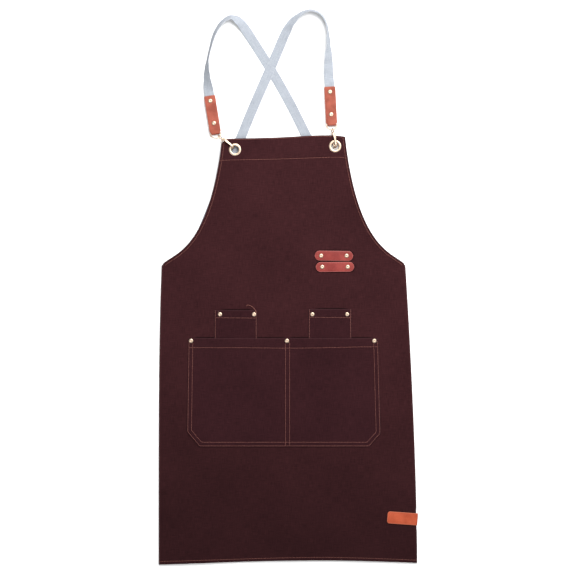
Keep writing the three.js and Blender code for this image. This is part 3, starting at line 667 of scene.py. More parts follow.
# Half the front's width in flat cloth: to the armhole on the bib, to the side fold on the skirt.
def frontHalf(sign, y):
    line = armholes["right"]
    bib = np.interp(-y, -line[:-1, 1], line[:-1, 0])
    skirt = sideHalf(np.full_like(y, sign), y) - foldRadius
    return np.where(y >= panel["waistHeight"], bib, skirt)


def liftAt(y):
    return panel["lift"] * smooth((y - panel["liftFrom"]) / (panel["liftTo"] - panel["liftFrom"]))


# Low, broad unevenness of cloth that lies on a table: a few crossed sine waves of long wavelength.
def clothWaves(x, y):
    slow = np.sin(x / 47 + 0.9 * np.sin(y / 83)) * np.sin(y / 71 + 0.6) + 0.7 * np.sin(x / 29 - y / 95 + 1.3)
    creases = 0.8 * np.sin(y / 23 + x / 160 + 0.5 * np.sin(x / 60)) * np.sin(x / 90 + 0.4)
    return panel["waves"] * (slow + 0.5 * creases)


# How the bib hangs from its two hooks: it drops between them and at its outer corners.
def bibDroop(x, y):
    lx, rx = grommetPlaces["left"][0], grommetPlaces["right"][0]
    near = smooth((y - 700) / 120)
    middle = np.clip((x - lx - 22) / (rx - lx - 44), 0, 1)
    between = -3.4 * np.sin(np.pi * middle) ** 2
    rightCorner = -1.6 * smooth((x - rx - 13) / 12)
    return near * (between + rightCorner)


# Relief of the sewn edges: hems stand up by the cloth folded into them, and each seam pulls a groove.
def hemRelief(x, y):
    left = distanceTo(x, y, armholes["left"])
    right = distanceTo(x, y, armholes["right"])
    top, bottom = panel["height"] - y, y
    rise = panel["hemRise"]
    relief = 0
    armhole = panel["armholeHem"]
    for away, wide in (
        (left, armhole), (right, armhole), (bottom, panel["bottomHem"]), (top, panel["topHem"]),
    ):
        relief = np.maximum(relief, rise * smooth((wide + 0.9 - away) / 1.8))
    for away, seam in zip((left, right, bottom, top), panel["seams"].values()):
        relief = relief - 0.38 * bump(away - seam, 0.8)
    nearest = np.minimum(np.minimum(left, right), np.minimum(top, bottom))
    relief = relief - roundedEdge(nearest, 0.9)
    pucker = 0.13 * np.sin((x + y) / 1.9) * (
        bump(left - 4, 5) + bump(right - 4, 5) + bump(bottom - 4, 5) + 0.8 * bump(top - 44, 5)
    )
    return relief + pucker


# The bows of the hem and of the top edge are smooth polynomials near their places.
def fittedBow(places, rises, half):
    return np.polynomial.Polynomial(np.polynomial.polynomial.polyfit(np.array(places) / half, rises, 4))


bottomBow = fittedBow(panel["bowPlaces"], panel["bowRise"], 252)
topBow = fittedBow(panel["topPlaces"], panel["topRise"], 126)


# Flat distance from the bib's upper left corner, measured along its two edges and added up.
def fromCorner(a, y):
    return (panel["height"] - y) + (a + panel["topHalf"])


# The left corner is folded back under the hook's barrel, round a half circle: how far a place moves
# back along the diagonal, and how far it drops.
def cornerTurned(a, y):
    past = np.maximum((panel["cornerFold"] - fromCorner(a, y)) / math.sqrt(2), 0)
    radius = panel["cornerTurn"]
    turn = np.clip(past / radius, 0, np.pi)
    outside = radius * np.sin(turn) - np.maximum(past - np.pi * radius, 0)
    return (past - outside) / math.sqrt(2), radius * (1 - np.cos(turn))


# The panel's outer face for places on the flat cloth: across a and up y. The skirt's sides turn under
# round a half circle; beyond it the cloth runs back inwards on the table.
def panelSurface(a, y):
    a, y = np.asarray(a, float), np.asarray(y, float)
    sign = np.where(a < 0, -1.0, 1.0)
    t = np.abs(a)
    start = np.where(y > panel["waistHeight"] + 0.01, 1e4, sideHalf(a, y) - foldRadius)
    nearLabel = smooth((24 - np.abs(y - panel["labelHeight"])) / 8) * (a > 0)
    radius = foldRadius - nearLabel * panel["labelRise"] / 2
    turn = np.clip((t - start) / radius, 0, np.pi)
    beyond = np.maximum(t - start - np.pi * radius, 0)
    x = np.where(t < start, t, start + radius * np.sin(turn) - beyond)
    rise = nearLabel * panel["labelRise"] * (1 - smooth((beyond - 26) / 8))
    lower = np.where(t < start, 0, rise)
    z = np.where(t < start, panel["frontHeight"], lower + radius + radius * np.cos(turn))
    z = np.where(beyond > 0, rise, z)
    front = smooth((start - t) / 14)
    edgeFade = np.where(y > panel["waistHeight"], 1.0, front)
    z = z + np.where(
        t < start + 0.5,
        hemRelief(a, y) + clothWaves(a, y) * edgeFade * (1 - 0.75 * smooth((y - 700) / 100)), 0,
    )
    z = z + np.where(t < start, liftAt(y) + np.where(y > 690, bibDroop(a, y), 0), 0)
    share = np.clip((y - panel["waistHeight"]) / (panel["height"] - panel["waistHeight"]), 0, 1.2)
    hang = 1 - smooth(y / 190)
    bow = bottomBow(np.clip(sign * x / 252, -1.05, 1.05))
    north = y + panel["topTilt"] * share * sign * x + bow * hang
    north = north + topBow(np.clip(sign * x / 126, -1.02, 1.02)) * smooth((y - 745) / 90)
    drop = panel["wingSlope"] * np.clip(y / panel["waistHeight"], 0, 1) ** 2 * beyond
    back, under = cornerTurned(a, y)
    return np.stack([sign * x + back, north - drop - back, z - under], -1)


def denseEdge(width, count):
    return width * (np.arange(count) / (count - 1)) ** 1.35


frontPocket = {
    "left": (-197.1, -194.4), "right": (198.2, 193.2), "top": 457.0, "bottom": 235.5,
    "leftBevel": (25.5, 30.5), "rightBevel": (23.5, 27.0), "hem": 21.5, "mouth": 2.4, "fullness": 1.1,
    "seams": (1.9, 9.3),
    "divider": (4.1, 12.3),
}
penPockets = {
    "left": {"left": -141.0, "right": -54.0, "top": 514.0, "seamTop": 498.6},
    "right": {"left": 50.8, "right": 138.4, "top": 516.2, "seamTop": 499.6},
}
towelLoops = {"upper": (102.6, 624.9, -0.6), "lower": (104.8, 602.2, 0.5)}
loopSize = {"length": 78.0, "width": 20.0, "thick": 1.8, "rivetInset": 13.0, "seat": 4.0}


# Rows this far in from a cut edge, closer together at the rim and under the seams.
hemPlaces = np.array([0, 0.25, 0.6, 1.1, 1.8, 2.6, 3.4, 4.0, 4.5, 5.0, 5.5, 6.0, 6.6, 7.2, 7.8, 8.6, 10, 12])
pocketPlaces = np.array([0, 0.3, 0.7, 1.2, 1.7, 2.2, 2.8, 3.6, 4.8, 6.2, 7.6, 8.4, 8.9, 9.4, 9.9, 10.6, 12])
mouthPlaces = np.concatenate([denseEdge(12, 10), np.linspace(12, 15, 3)[1:], np.linspace(15, 24, 12)[1:]])


# Painted shadow: the cloth is darkened just above the pockets' mouths and round the towel loops.
def paintedShadowAt(x, y):
    paintedShadow = 0 * x
    mouths = [
        (frontPocket["left"][1] + 14, 1.0, frontPocket["top"]),
        (13.0, frontPocket["right"][1] - 16, frontPocket["top"]),
    ]
    mouths += [(pen["left"] + 16, pen["right"] - 11, pen["top"]) for pen in penPockets.values()]
    for left, right, top in mouths:
        along = smooth((x - left + 6) / 12) * smooth((right + 6 - x) / 12)
        paintedShadow = np.maximum(paintedShadow, along * smooth((y - top + 2.6) / 1.2) * smooth((top + 3.4 - y) / 2.6))
    for cx, cy, _ in towelLoops.values():
        aside = np.maximum(np.abs(x - cx) - loopSize["length"] / 2 + 10, 0)
        rim = np.hypot(aside, y - cy) - loopSize["width"] / 2
        paintedShadow = np.maximum(paintedShadow, 0.9 * smooth((2.4 - rim) / 2.2))
    return paintedShadow


# The cloth's back: the given share of a doubled cloth's thickness at each point.
def thicken(piece, shares):
    weights = piece.vertex_groups.new(name="thickness")
    for share in np.unique(shares):
        weights.add(np.nonzero(shares == share)[0].tolist(), float(share), "REPLACE")
    solid = piece.modifiers.new("cloth", "SOLIDIFY")
    solid.thickness, solid.offset, solid.vertex_group = panel["cloth"] * 2 / 1000, -1, "thickness"


def makePanel():
    hemSteps = hemPlaces
    skirtRows = np.linspace(12.0, panel["waistHeight"], 145)
    mouths = [frontPocket["top"] + 1.5, *(pen["top"] + 1.5 for pen in penPockets.values())]
    close = np.concatenate([place + np.linspace(-4, 4, 8) for place in mouths])
    away = np.abs(skirtRows[:, None] - np.array(mouths)).min(1)
    skirtRows = np.sort(np.concatenate([skirtRows[away > 4.5], close]))
    skirtRows = skirtRows[np.append(True, np.diff(skirtRows) > 0.2)]
    bibRows = np.linspace(panel["waistHeight"], panel["height"] - 52.0, 70)
    topRows = panel["height"] - np.concatenate(
        [
            np.linspace(52, 48, 3)[1:], np.linspace(48, 40, 11)[1:], np.linspace(40, 12, 12)[1:-1],
            hemSteps[::-1],
        ]
    )
    lower = np.concatenate([hemSteps[:-1], skirtRows])
    upper = np.concatenate([bibRows[1:], topRows])

    def frontColumns(y):
        left, right = frontHalf(-1.0, y), frontHalf(1.0, y)
        slope = np.abs(np.gradient(right, y))
        stretch = np.where(y > panel["waistHeight"], np.sqrt(1 + np.clip(slope, 0, 2.2) ** 2), 1.0)
        leftBand = -left[:, None] + hemSteps * stretch[:, None]
        rightBand = right[:, None] - hemSteps[::-1] * stretch[:, None]
        share = np.linspace(0, 1, 84)[1:-1]
        middle = leftBand[:, -1:] + (rightBand[:, :1] - leftBand[:, -1:]) * share
        return np.hstack([leftBand, middle, rightBand])

    lowFront, highFront = frontColumns(lower), frontColumns(upper)
    turnLength = np.pi * foldRadius
    sideSteps = np.concatenate(
        [
            turnLength * np.linspace(0, 1, 10)[1:],
            turnLength + (panel["wing"] - foldRadius) * np.linspace(0, 1, 11)[1:],
        ]
    )
    leftSide = lowFront[:, :1] - sideSteps[::-1]
    rightSide = lowFront[:, -1:] + sideSteps
    lowA = np.hstack([leftSide, lowFront, rightSide])
    lowY = np.broadcast_to(lower[:, None], lowA.shape)
    highY = np.broadcast_to(upper[:, None], highFront.shape)
    a = np.concatenate([lowA.ravel(), highFront.ravel()])
    y = np.concatenate([lowY.ravel(), highY.ravel()])
    points = panelSurface(a, y)
    columns, inner, sides = lowA.shape[1], lowFront.shape[1], len(sideSteps)
    faces = [gridFaces(len(lower), columns)]
    firstHigh = lowA.size
    seamLow = (len(lower) - 1) * columns + sides + np.arange(inner)
    seamHigh = firstHigh + np.arange(inner)
    faces.append(np.stack([seamLow[:-1], seamLow[1:], seamHigh[1:], seamHigh[:-1]], 1))
    faces.append(gridFaces(len(upper), inner, first=firstHigh))
    faces = np.vstack(faces)

    # The grommets' holes: faces that reach inside a hole are left out, under the flanges.
    inHole = np.zeros(len(a), bool)
    for place in grommetPlaces.values():
        inHole |= np.hypot(points[:, 0] - place[0], points[:, 1] - place[1]) < 8.2
    faces = faces[~inHole[faces].any(1)]
    used = np.unique(faces)
    order = np.full(len(a), -1)
    order[used] = np.arange(len(used))
    faces, points, a, y = order[faces], points[used], a[used], y[used]

    left, right = distanceTo(a, y, armholes["left"]), distanceTo(a, y, armholes["right"])
    start = np.where(y > panel["waistHeight"], 1e4, sideHalf(a, y) - foldRadius)
    hem = smooth((panel["armholeHem"] + 0.7 - np.minimum(left, right)) / 1.4)
    hem = np.maximum(hem, smooth((panel["bottomHem"] + 0.7 - y) / 1.4))
    hem = np.maximum(hem, smooth((panel["topHem"] + 0.7 - (panel["height"] - y)) / 1.4))
    hem = hem * np.where(np.abs(a) > start - 2, 0, 1) * smooth((fromCorner(a, y) - 18) / 8)
    nearest = np.minimum(np.minimum(left, right), np.minimum(y, panel["height"] - y))
    # The side folds are paler: wear, and a painted sheen where the cloth turns.
    foldWearAndSheen = bump(np.abs(a) - start - 1.2, 1.6)
    edge = 0.55 * np.exp(-nearest / 0.8) + 0.7 * foldWearAndSheen
    piece = makePiece(
        "apronPanel", toRow(points), [faces], canvas, np.stack([a, y], 1) / 1000, edge, closed=False,
    )
    # The painted shadow above the pocket mouths and round the loops, kept as a point attribute.
    layer = piece.data.attributes.new("paintedShadow", "FLOAT", "POINT")
    layer.data.foreach_set("value", paintedShadowAt(a, y).astype(np.float32))
    thicken(piece, 0.5 + np.round(hem * 4) / 8)
    placePiece(piece, "apron", "canvas", "apron_panel")
    return piece


apronPanel = makePanel()
print("panel made")


# A seam that keeps its distance inside an armhole, from the top edge over the side fold.
def armholeSeam(side):
    line = spread(armholes[side][armholes[side][:, 1] > panel["waistHeight"] - 16], 2.0)
    along = unit(np.gradient(line, axis=0))
    inward = np.stack([along[:, 1], -along[:, 0]], 1) * (-1 if side == "left" else 1)
    seam = line + inward * panel["seams"][side]
    return seam[seam[:, 1] < panel["height"] - 1.5]


def sewPanel():
    over = np.pi * foldRadius * 0.75
    low, high = -(frontHalf(-1.0, np.array([6.0]))[0] + over), frontHalf(1.0, np.array([6.0]))[0] + over
    across = np.linspace(low, high, 200)
    bottom = np.stack([across, panel["seams"]["bottom"] + 0.4 * np.sin(across / 55)], 1)
    topY = panel["height"] - panel["seams"]["top"]
    half = frontHalf(1.0, np.array([topY]))[0]
    across = np.linspace(-half + 1.5, half - 1.5, 90)
    dip = -1.3 * bump(across - 62, 60) + 1.2 * smooth((across - 80) / 40)
    top = np.stack([across, topY + dip], 1)
    rim = panel["topHalf"] - 6.2
    across = np.linspace(-rim, rim, 90)
    edgeRow = np.stack([across, np.full(90, panel["height"] - 2.1)], 1)
    rows = [armholeSeam("left"), armholeSeam("right"), bottom, top, edgeRow]
    sewRows("panelStitching", rows, panelSurface, thread)


sewPanel()


# Pockets.

penFoot, penSeam = 360.0, 1.9


# How high the pen pockets' outer faces lie: full in the middle, and a little open at the mouth.
def penHeight(x, y):
    base = panel["frontHeight"] + 1.25
    height = base + 0 * x
    for pen in penPockets.values():
        middle = np.clip((x - pen["left"]) / (pen["right"] - pen["left"]), 0, 1)
        full = 0.7 * np.sin(np.pi * middle) ** 0.8
        mouth = 1.3 * np.sin(np.pi * middle) ** 2 * smooth((y - pen["top"] + 45) / 45)
        inside = (x > pen["left"] - 2) & (x < pen["right"] + 2)
        height = height + np.where(inside, full + mouth, 0)
    return height


def penSurface(name):
    pen = penPockets[name]

    def surface(x, y):
        x, y = np.asarray(x, float), np.asarray(y, float)
        z = penHeight(x, y)
        side = np.minimum(x - pen["left"], pen["right"] - x)
        top = pen["top"] - y
        hem = 0.3 * smooth((8.8 - side) / 1.8) + 0.35 * smooth((18.5 - top) / 1.8)
        groove = 0.3 * bump(side - penSeam, 0.7) + 0.3 * bump(pen["seamTop"] - y, 0.8)
        z = z + hem - groove - roundedEdge(np.minimum(side, top), 0.8)
        settle = clothWaves(x, y) * 0.8
        return np.stack([x, y, z + settle], -1)

    return surface


# The outline, down the left side, along the foot between its bevels and up the right side.
def pocketOutline():
    p = frontPocket
    (lb, lt), (rb, rt) = p["left"], p["right"]
    return np.array([
        (lt, p["top"]), (lb, p["bottom"] + p["leftBevel"][1]), (lb + p["leftBevel"][0], p["bottom"]),
        (rb - p["rightBevel"][0], p["bottom"]), (rb, p["bottom"] + p["rightBevel"][1]), (rt, p["top"]),
    ])


pocketSides = pocketOutline()


# The front pocket's outer face: it is sewn down at its outline and divider, full between them, and its
# mouth stands open a little between the rivets.
def pocketSurface(x, y):
    x, y = np.asarray(x, float), np.asarray(y, float)
    p = frontPocket
    side = distanceTo(x, y, pocketSides)
    middle = (p["divider"][0] + p["divider"][1]) / 2
    top = p["top"] - y
    toDivider = np.abs(x - middle)
    held = np.minimum(side, np.maximum(toDivider - 4, 0))
    full = p["fullness"] * smooth(held / 60)
    overPens = 0
    for pen in penPockets.values():
        inside = np.minimum(np.minimum(x - pen["left"], pen["right"] - x), y - penFoot)
        overPens = overPens + 1.15 * smooth((inside + 7) / 11)
    share = np.where(
        x < middle, (x - p["left"][1]) / (middle - p["left"][1]), (x - middle) / (p["right"][1] - middle),
    )
    mouth = p["mouth"] * np.sin(np.pi * np.clip(share, 0, 1)) ** 2 * smooth((60 - top) / 60)
    z = panel["frontHeight"] + 1.35 + full + overPens + mouth
    z = z + 0.35 * smooth((10.5 - side) / 1.8) + 0.4 * smooth((p["hem"] + 0.9 - top) / 1.8)
    for seam in p["seams"]:
        z = z - 0.32 * bump(side - seam, 0.75)
    for seam in p["divider"]:
        z = z - 0.32 * bump(x - seam, 0.75)
    z = z - 0.34 * bump(top - pocketHemSeam(x), 0.8)
    z = z - roundedEdge(np.minimum(side, top), 0.8)
    z = z + 0.10 * np.sin((x + y) / 1.9) * (bump(side - 6, 7) + bump(top - 20, 5))
    return np.stack([x, y, z + clothWaves(x, y) * 0.9], -1)


def pocketHemSeam(x):
    return 19.4 + 1.0 * bump(x - 10, 60) - 1.9 * smooth((x - 60) / 130)


# A pocket as one sheet between its side lines, foot and mouth, with rows set close where seams pull it
# in. Its weave is shifted a little, so that it doesn't run on from the panel's.
def makePatch(name, left, right, bottom, top, surface, material, hemBand, replaced, seams=()):
    steps, seamBand = pocketPlaces, pocketPlaces[-1]
    wide, tall = right(0) - left(0), top - bottom(np.array([0.5]))[0]
    inner = np.arange(seamBand + 3, wide - seamBand - 1.5, 3.4)
    for place in seams:
        close = np.arange(place - left(0) - 8, place - left(0) + 8, 0.8)
        inner = np.concatenate([inner[(inner < close[0] - 1) | (inner > close[-1] + 1)], close])
    share = (np.sort(inner) - seamBand) / (wide - 2 * seamBand)
    lowV, highV = steps / tall, 1 - mouthPlaces[::-1] / tall
    v = np.concatenate([lowV, np.linspace(lowV[-1], highV[0], int(tall / 3.2))[1:-1], highV])
    lefts, rights = left(v), right(v)
    u = np.hstack(
        [
            lefts[:, None] + steps,
            (lefts + seamBand)[:, None] + (rights - lefts - 2 * seamBand)[:, None] * share,
            rights[:, None] - steps[::-1],
        ]
    )
    across = (u - lefts[:, None]) / (rights - lefts)[:, None]
    low = bottom(across)
    y = low + v[:, None] * (top - low)
    points = surface(u, y)
    uv = np.stack([u, y], -1) / 1000 + 0.0037
    side = np.minimum(np.minimum(u - lefts[:, None], rights[:, None] - u), np.minimum(y - low, top - y))
    edge = 0.5 * np.exp(-side / 0.9)
    rowCount, columnCount = u.shape
    piece = makePiece(
        name, toRow(points.reshape(-1, 3)), [gridFaces(rowCount, columnCount)], material,
        uv.reshape(-1, 2), edge.ravel(), closed=False,
    )
    thicken(piece, np.where((top - y).ravel() < hemBand, 0.85, 0.5))
    placePiece(piece, "apron", "pocket_canvas", replaced)
    return piece


def makePockets():
    p = frontPocket
    (lb, lt), (rb, rt) = p["left"], p["right"]

    def bottomOf(share):
        x = lb + share * (rb - lb)
        fromLeft = np.clip(1 - (x - lb) / p["leftBevel"][0], 0, 1) * p["leftBevel"][1]
        fromRight = np.clip(1 - (rb - x) / p["rightBevel"][0], 0, 1) * p["rightBevel"][1]
        return p["bottom"] + fromLeft + fromRight

    makePatch(
        "frontPocket", lambda v: lb + (lt - lb) * v, lambda v: rb + (rt - rb) * v, bottomOf, p["top"],
        pocketSurface, pocketCanvas, p["hem"], "front_pocket", [sum(p["divider"]) / 2],
    )
    for side, pen in penPockets.items():
        makePatch(
            "penPocket_" + side, lambda v, pen=pen: pen["left"] + 0 * v,
            lambda v, pen=pen: pen["right"] + 0 * v, lambda s: penFoot + 0 * s, pen["top"],
            penSurface(side), pocketCanvas, 17.0, "pen_pocket_" + side,
        )


# An open line moved inwards by the same distance all along, with its corners mitred.
def insetLine(line, inset):
    middle = line.mean(0)
    edges = np.diff(line, axis=0)
    normals = unit(np.stack([edges[:, 1], -edges[:, 0]], 1))
    normals *= np.sign(((middle - line[:-1]) * normals).sum(1))[:, None]
    moved = [line[0] + normals[0] * inset]
    for i in range(1, len(line) - 1):
        corner = unit(normals[i - 1] + normals[i])
        moved.append(line[i] + corner * inset / (corner @ normals[i]))
    moved.append(line[-1] + normals[-1] * inset)
    return np.array(moved)


def sewPockets():
    p = frontPocket
    outer, inner = [insetLine(pocketSides, seam) for seam in p["seams"]]
    outer[[0, -1], 1] -= 6.0
    inner[[0, -1], 1] -= 10.0
    across = np.linspace(p["left"][1] + 2, p["right"][1] - 2, 120)
    hem = np.stack([across, p["top"] - pocketHemSeam(across)], 1)
    dividers = [np.array([(x, p["top"] - 8.5), (x, p["bottom"] + 2)]) for x in p["divider"]]
    sewRows("frontPocketStitching", [outer, inner, hem, *dividers], pocketSurface, thread)
    for side, pen in penPockets.items():
        xs = (pen["left"] + penSeam, pen["right"] - penSeam)
        low = p["top"] - 1.5
        seams = [np.array([(x, pen["top"] - 0.6), (x, low)]) for x in xs]
        hemY = pen["seamTop"]
        seams.append(np.array([(xs[0] + 1, hemY), (xs[1] - 1, hemY - 0.8)]))
        sewRows("penPocketStitching_" + side, seams, penSurface(side), thread)


makePockets()
sewPockets()
print("pockets made")

# A loose end of thread at the left pen pocket's corner, lying in a curl.
looseThread = {
    "radius": 0.33,
    "path": ((-56.0, 508.0), (-57.5, 513.5), (-61.5, 519.0), (-67.5, 523.0), (-73.5, 524.4), (-76.0, 522.6)),
}


def makeLooseThread():
    flat, _ = curveThrough(looseThread["path"], 8)
    path = panelSurface(flat[:, 0], flat[:, 1])
    path[:, 2] += 0.5 + 2.2 * smooth((len(flat) - 14 - np.arange(len(flat))) / 14)
    along = unit(np.gradient(path, axis=0))
    across = unit(np.cross(along, np.array([0.0, 0.0, 1.0])))
    rings, _ = carried(path, across, np.cross(across, along), looseThread["radius"], looseThread["radius"], 8)
    piece = makeShells("looseThread", [(rings, False)], thread)
    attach(piece, "apron")


makeLooseThread()


# Shoulder straps.

strap = {"width": 20.0, "thick": 1.3}
tabSize = {
    "length": 80.0, "width": 23.0, "thick": 1.8, "throat": 3.2, "foot": 1.1,
    "rivetTop": 10.7, "rivetFold": 23.3,
}
tabMiddle = tabSize["foot"] + tabSize["thick"] + tabSize["throat"] / 2
tabFold = tabSize["throat"] / 2 + tabSize["thick"]
joints = {j["name"]: j for j in frame["joints"]}


def jointPlace(name):
    return np.array(joints[name]["pos_m"]) * 1000 - hemOrigin


def jointAxis(name):
    return unit(np.array(joints[name]["axis"]))


# A tab's own directions, from the D-ring's bar: across it, up the strap, and off the table.
def tabFrame(side):
    across = -jointAxis("d_ring_" + side + "_tilt")
    up = np.array([-across[1], across[0], 0.0])
    bar = jointPlace("d_ring_" + side + "_tilt")
    return bar, across, up


# Stations of each strap beyond its tab: x, y, lean off the table in degrees, height of the lower edge.
# It stands on its outer edge round the shoulder, and lies flat from the crossing on.
strapRuns = {
    "left": [
        (-156, 989, 46, 0), (-156, 1008, 64, 0), (-154, 1026, 78, 0), (-148.5, 1050, 76, 0),
        (-143.5, 1069, 71, 0), (-135.5, 1087, 68, 0), (-124, 1102, 66, 0), (-107, 1111, 60, 0),
        (-91, 1103, 32, 0), (-78, 1087, 8, 0), (-58, 1056, 0, 0), (-26, 1005, 0, 0),
        (14.3, 934, 0, 0), (46.9, 869, 0, 0),
    ],
    "right": [
        (92.2, 992, 8, 0.6), (91.8, 1014, 24, 0), (91.8, 1034, 44, 0), (91.6, 1057, 66, 0),
        (89.6, 1087, 79, 0), (86.4, 1101, 80, 0), (75, 1118, 77, 0), (54, 1125, 74, 0),
        (34, 1117, 64, 0), (16, 1100, 44, 0.2), (4.5, 1080, 20, 1), (-11, 1044, 1, 1.6),
        (-25.5, 1010, 0, 1.6), (-40, 977, 0, 1.6), (-64, 922, 0, 0.4), (-85.7, 869, 0, 0),
    ],
}
hiddenRun = ((100, 0), (200, 0), (255, 0), (285, 1.2), (321, 1.2))


def strapStations(side):
    bar, _, up = tabFrame(side)
    fold = bar - up * tabFold
    doubled = 2 * strap["thick"]
    rest = tabMiddle - doubled / 2
    stations = []
    length = tabSize["length"]
    for distance, thick, base in (
        (tabFold + 9, doubled, rest), (length / 2, doubled, rest),
        (length - 6, doubled, rest), (length + 4, strap["thick"], rest + 0.6),
    ):
        p = fold + up * distance
        stations.append((p[0], p[1], 0, base, thick))
    stations += [(*s, strap["thick"]) for s in strapRuns[side]]
    (x, y, _, _), (px, py, _, _) = strapRuns[side][-1], strapRuns[side][-2]
    slope = (x - px) / (py - y)
    stations += [(x + slope * drop, y - drop, 0, base, strap["thick"]) for drop, base in hiddenRun]
    return np.array(stations, float)


# The webbing's flat section carried along the stations' curve, leaning as they say.
def makeStrap(side):
    stations = strapStations(side)
    line, place = curveThrough(stations[:, :2], 14)
    low = np.minimum(place.astype(int), len(stations) - 2)
    share = (place - low)[:, None]
    here, there = stations[low], stations[low + 1]
    angle, base = (here[:, 2:4] + (there - here)[:, 2:4] * smooth(share)).T
    thick = here[:, 4] + (there - here)[:, 4] * share[:, 0]
    tangent = unit(np.gradient(line, axis=0))
    inner = 1.0 if side == "left" else -1.0
    tip = np.radians(angle)
    level = inner * np.cos(tip)
    across = np.stack([tangent[:, 1] * level, -tangent[:, 0] * level, np.sin(tip)], 1)
    along = np.column_stack([tangent, np.zeros(len(line))])
    out = np.cross(along, across) * -inner
    half = strap["width"] / 2
    z = base + half * np.sin(tip) + thick / 2 * np.cos(tip)
    path = np.column_stack([line, z])
    rings, wide = carried(path, across, out, half, thick / 2, 34, 7.0)
    run = np.append(0, np.cumsum(np.linalg.norm(np.diff(path, axis=0), axis=1)))
    ripple = 0.07 * np.sin(run / 2.7)[:, None] * (np.abs(wide) / half) ** 4
    rings = rings + out[:, None] * ripple[..., None]
    uv = np.stack([wide, np.broadcast_to(run[:, None], wide.shape)], -1).reshape(-1, 2) / 1000
    edge = (smooth((np.abs(wide) / half - 0.86) / 0.14) * 0.8).ravel()
    name = "strap_" + side
    piece = makePiece(name, toRow(rings.reshape(-1, 3)), shellFaces(rings), webbingCloth, uv, edge)
    placePiece(piece, "apron", "webbing", "strap_from_" + side + "_shoulder")


for side in ("left", "right"):
    makeStrap(side)
print("straps made")


# Leather.

# A leather strip's section carried along a flat path of s and height: a rounded bar that is slightly
# crowned; tabs and loops are pressed in round their rivets later. Gives the rings, and how near each point is
# to a cut edge.
def leatherStrip(path, across, out, half, thick, crown=0.12, count=44):
    rings, wide = carried(path, across, out, half, thick / 2, count, 5.0)
    share = np.abs(wide) / np.maximum(np.max(np.abs(wide), axis=1, keepdims=True), 1e-6)
    rings = rings + out[:, None] * (crown * (1 - share**2))[..., None]
    edge = smooth((share - 0.86) / 0.14)
    return rings, wide, edge


# 1 for the points on a strip's outer face, 0 for those on its back.
def onFace(rings, path, out):
    return (np.sum((rings - path[:, None]) * out[:, None], -1) > 0) * 1.0


def makeLeatherPiece(name, rings, material, edge, node):
    points = toRow(rings.reshape(-1, 3))
    piece = makePiece(name, points, shellFaces(rings), material, edge=edge.ravel())
    placePiece(piece, "apron", "leather", node)


# A tab's path up one leg, round the fold and back up the other: legs are straight, the fold is a half
# circle about the D-ring's bar.
def makeTab(side):
    bar, across, up = tabFrame(side)
    radius = (tabSize["throat"] + tabSize["thick"]) / 2
    leg = np.concatenate(
        [
            denseEdge(4.0, 7), np.linspace(4, tabSize["length"] - 9, 44)[1:],
            tabSize["length"] - 9 + np.linspace(0, 9 - tabFold, 10)[1:],
        ]
    )
    legUp = tabSize["length"] - tabFold - leg
    turn = np.linspace(0, np.pi, 22)[1:-1]
    s = np.concatenate([legUp, -radius * np.sin(turn), legUp[::-1]])
    z = np.concatenate([0 * legUp - radius, -radius * np.cos(turn), 0 * legUp + radius])
    outY = np.concatenate([0 * legUp, -np.sin(turn), 0 * legUp])
    outZ = np.concatenate([0 * legUp - 1, -np.cos(turn), 0 * legUp + 1])
    fromEnd = tabSize["length"] - tabFold - s
    rounding = roundedEdge(fromEnd, 2.4)
    waist = 8.8 + (tabSize["width"] / 2 - 8.8) * smooth((s - 0.9) / 1.5)
    half = waist - rounding
    path = bar + np.outer(s, up) + np.outer(z, [0, 0, 1.0])
    out = np.outer(outY, up) + np.outer(outZ, [0, 0, 1.0])
    acrossAll = np.broadcast_to(across, path.shape)
    rings, wide, edge = leatherStrip(path, acrossAll, out, half, tabSize["thick"])
    edge = np.maximum(edge, smooth((1.3 - fromEnd) / 1.3)[:, None])
    pinch = 0
    for place in (tabSize["rivetFold"], tabSize["length"] - tabSize["rivetTop"]):
        away = np.hypot(wide, s[:, None] + tabFold - place)
        pinch = pinch + 0.28 * bump(away, 6.5)
    rings = rings - out[:, None] * (pinch * onFace(rings, path, out))[..., None]
    makeLeatherPiece("leatherTab_" + side, rings, tabLeather, edge, "leather_tab_" + side)


# A towel loop lies along x with full round ends; between its rivets it stands off the cloth a little.
def makeLoop(name):
    x, y, tilt = towelLoops[name]
    size = loopSize
    halfLong, halfWide = size["length"] / 2, size["width"] / 2
    turn = np.linspace(0, np.pi / 2, 18)
    end = halfWide * (1 - np.cos(turn))[1:]
    straight = np.linspace(halfWide, size["length"] - halfWide, 40)[1:-1]
    s = np.concatenate([end, straight, (size["length"] - end)[::-1]]) - halfLong
    short = np.clip(halfWide - (halfLong - np.abs(s)), 0, halfWide)
    half = np.sqrt(np.maximum(halfWide**2 - short**2, 0.01))
    reach = halfLong - size["rivetInset"]
    lift = 0.75 * np.cos(np.clip(s / reach, -1, 1) * np.pi / 2) ** 2
    ease = np.radians(tilt)
    forward, across = np.array([np.cos(ease), np.sin(ease), 0]), np.array([-np.sin(ease), np.cos(ease), 0])
    middle = np.array([x, y, size["seat"] + size["thick"] / 2])
    path = middle + np.outer(s, forward) + np.outer(lift, [0, 0, 1.0])
    out = np.broadcast_to(np.array([0, 0, 1.0]), path.shape)
    rings, wide, edge = leatherStrip(path, np.broadcast_to(across, path.shape), out, half, size["thick"], 0.1)
    edge = np.maximum(edge, smooth((1.6 - (halfLong - np.abs(s))) / 1.6)[:, None])
    rimDistance = np.minimum(half[:, None] - np.abs(wide), (halfLong - np.abs(s))[:, None])
    top = (rings[..., 2] > path[:, None, 2]) * 1.0
    press = 0.16 * bump(rimDistance - 2.0, 0.5)
    for place in (-reach, reach):
        press = press + 0.3 * bump(np.hypot(wide, s[:, None] - place), 6.0)
    rings[..., 2] -= press * top
    makeLeatherPiece("towelLoop_" + name, rings, loopLeather, edge, "towel_loop_" + name)


labelSize = {
    "front": 61.0, "back": 18.0, "height": 24.5, "thick": 1.2, "corner": 5.0, "border": 3.4, "tilt": -4.6,
}


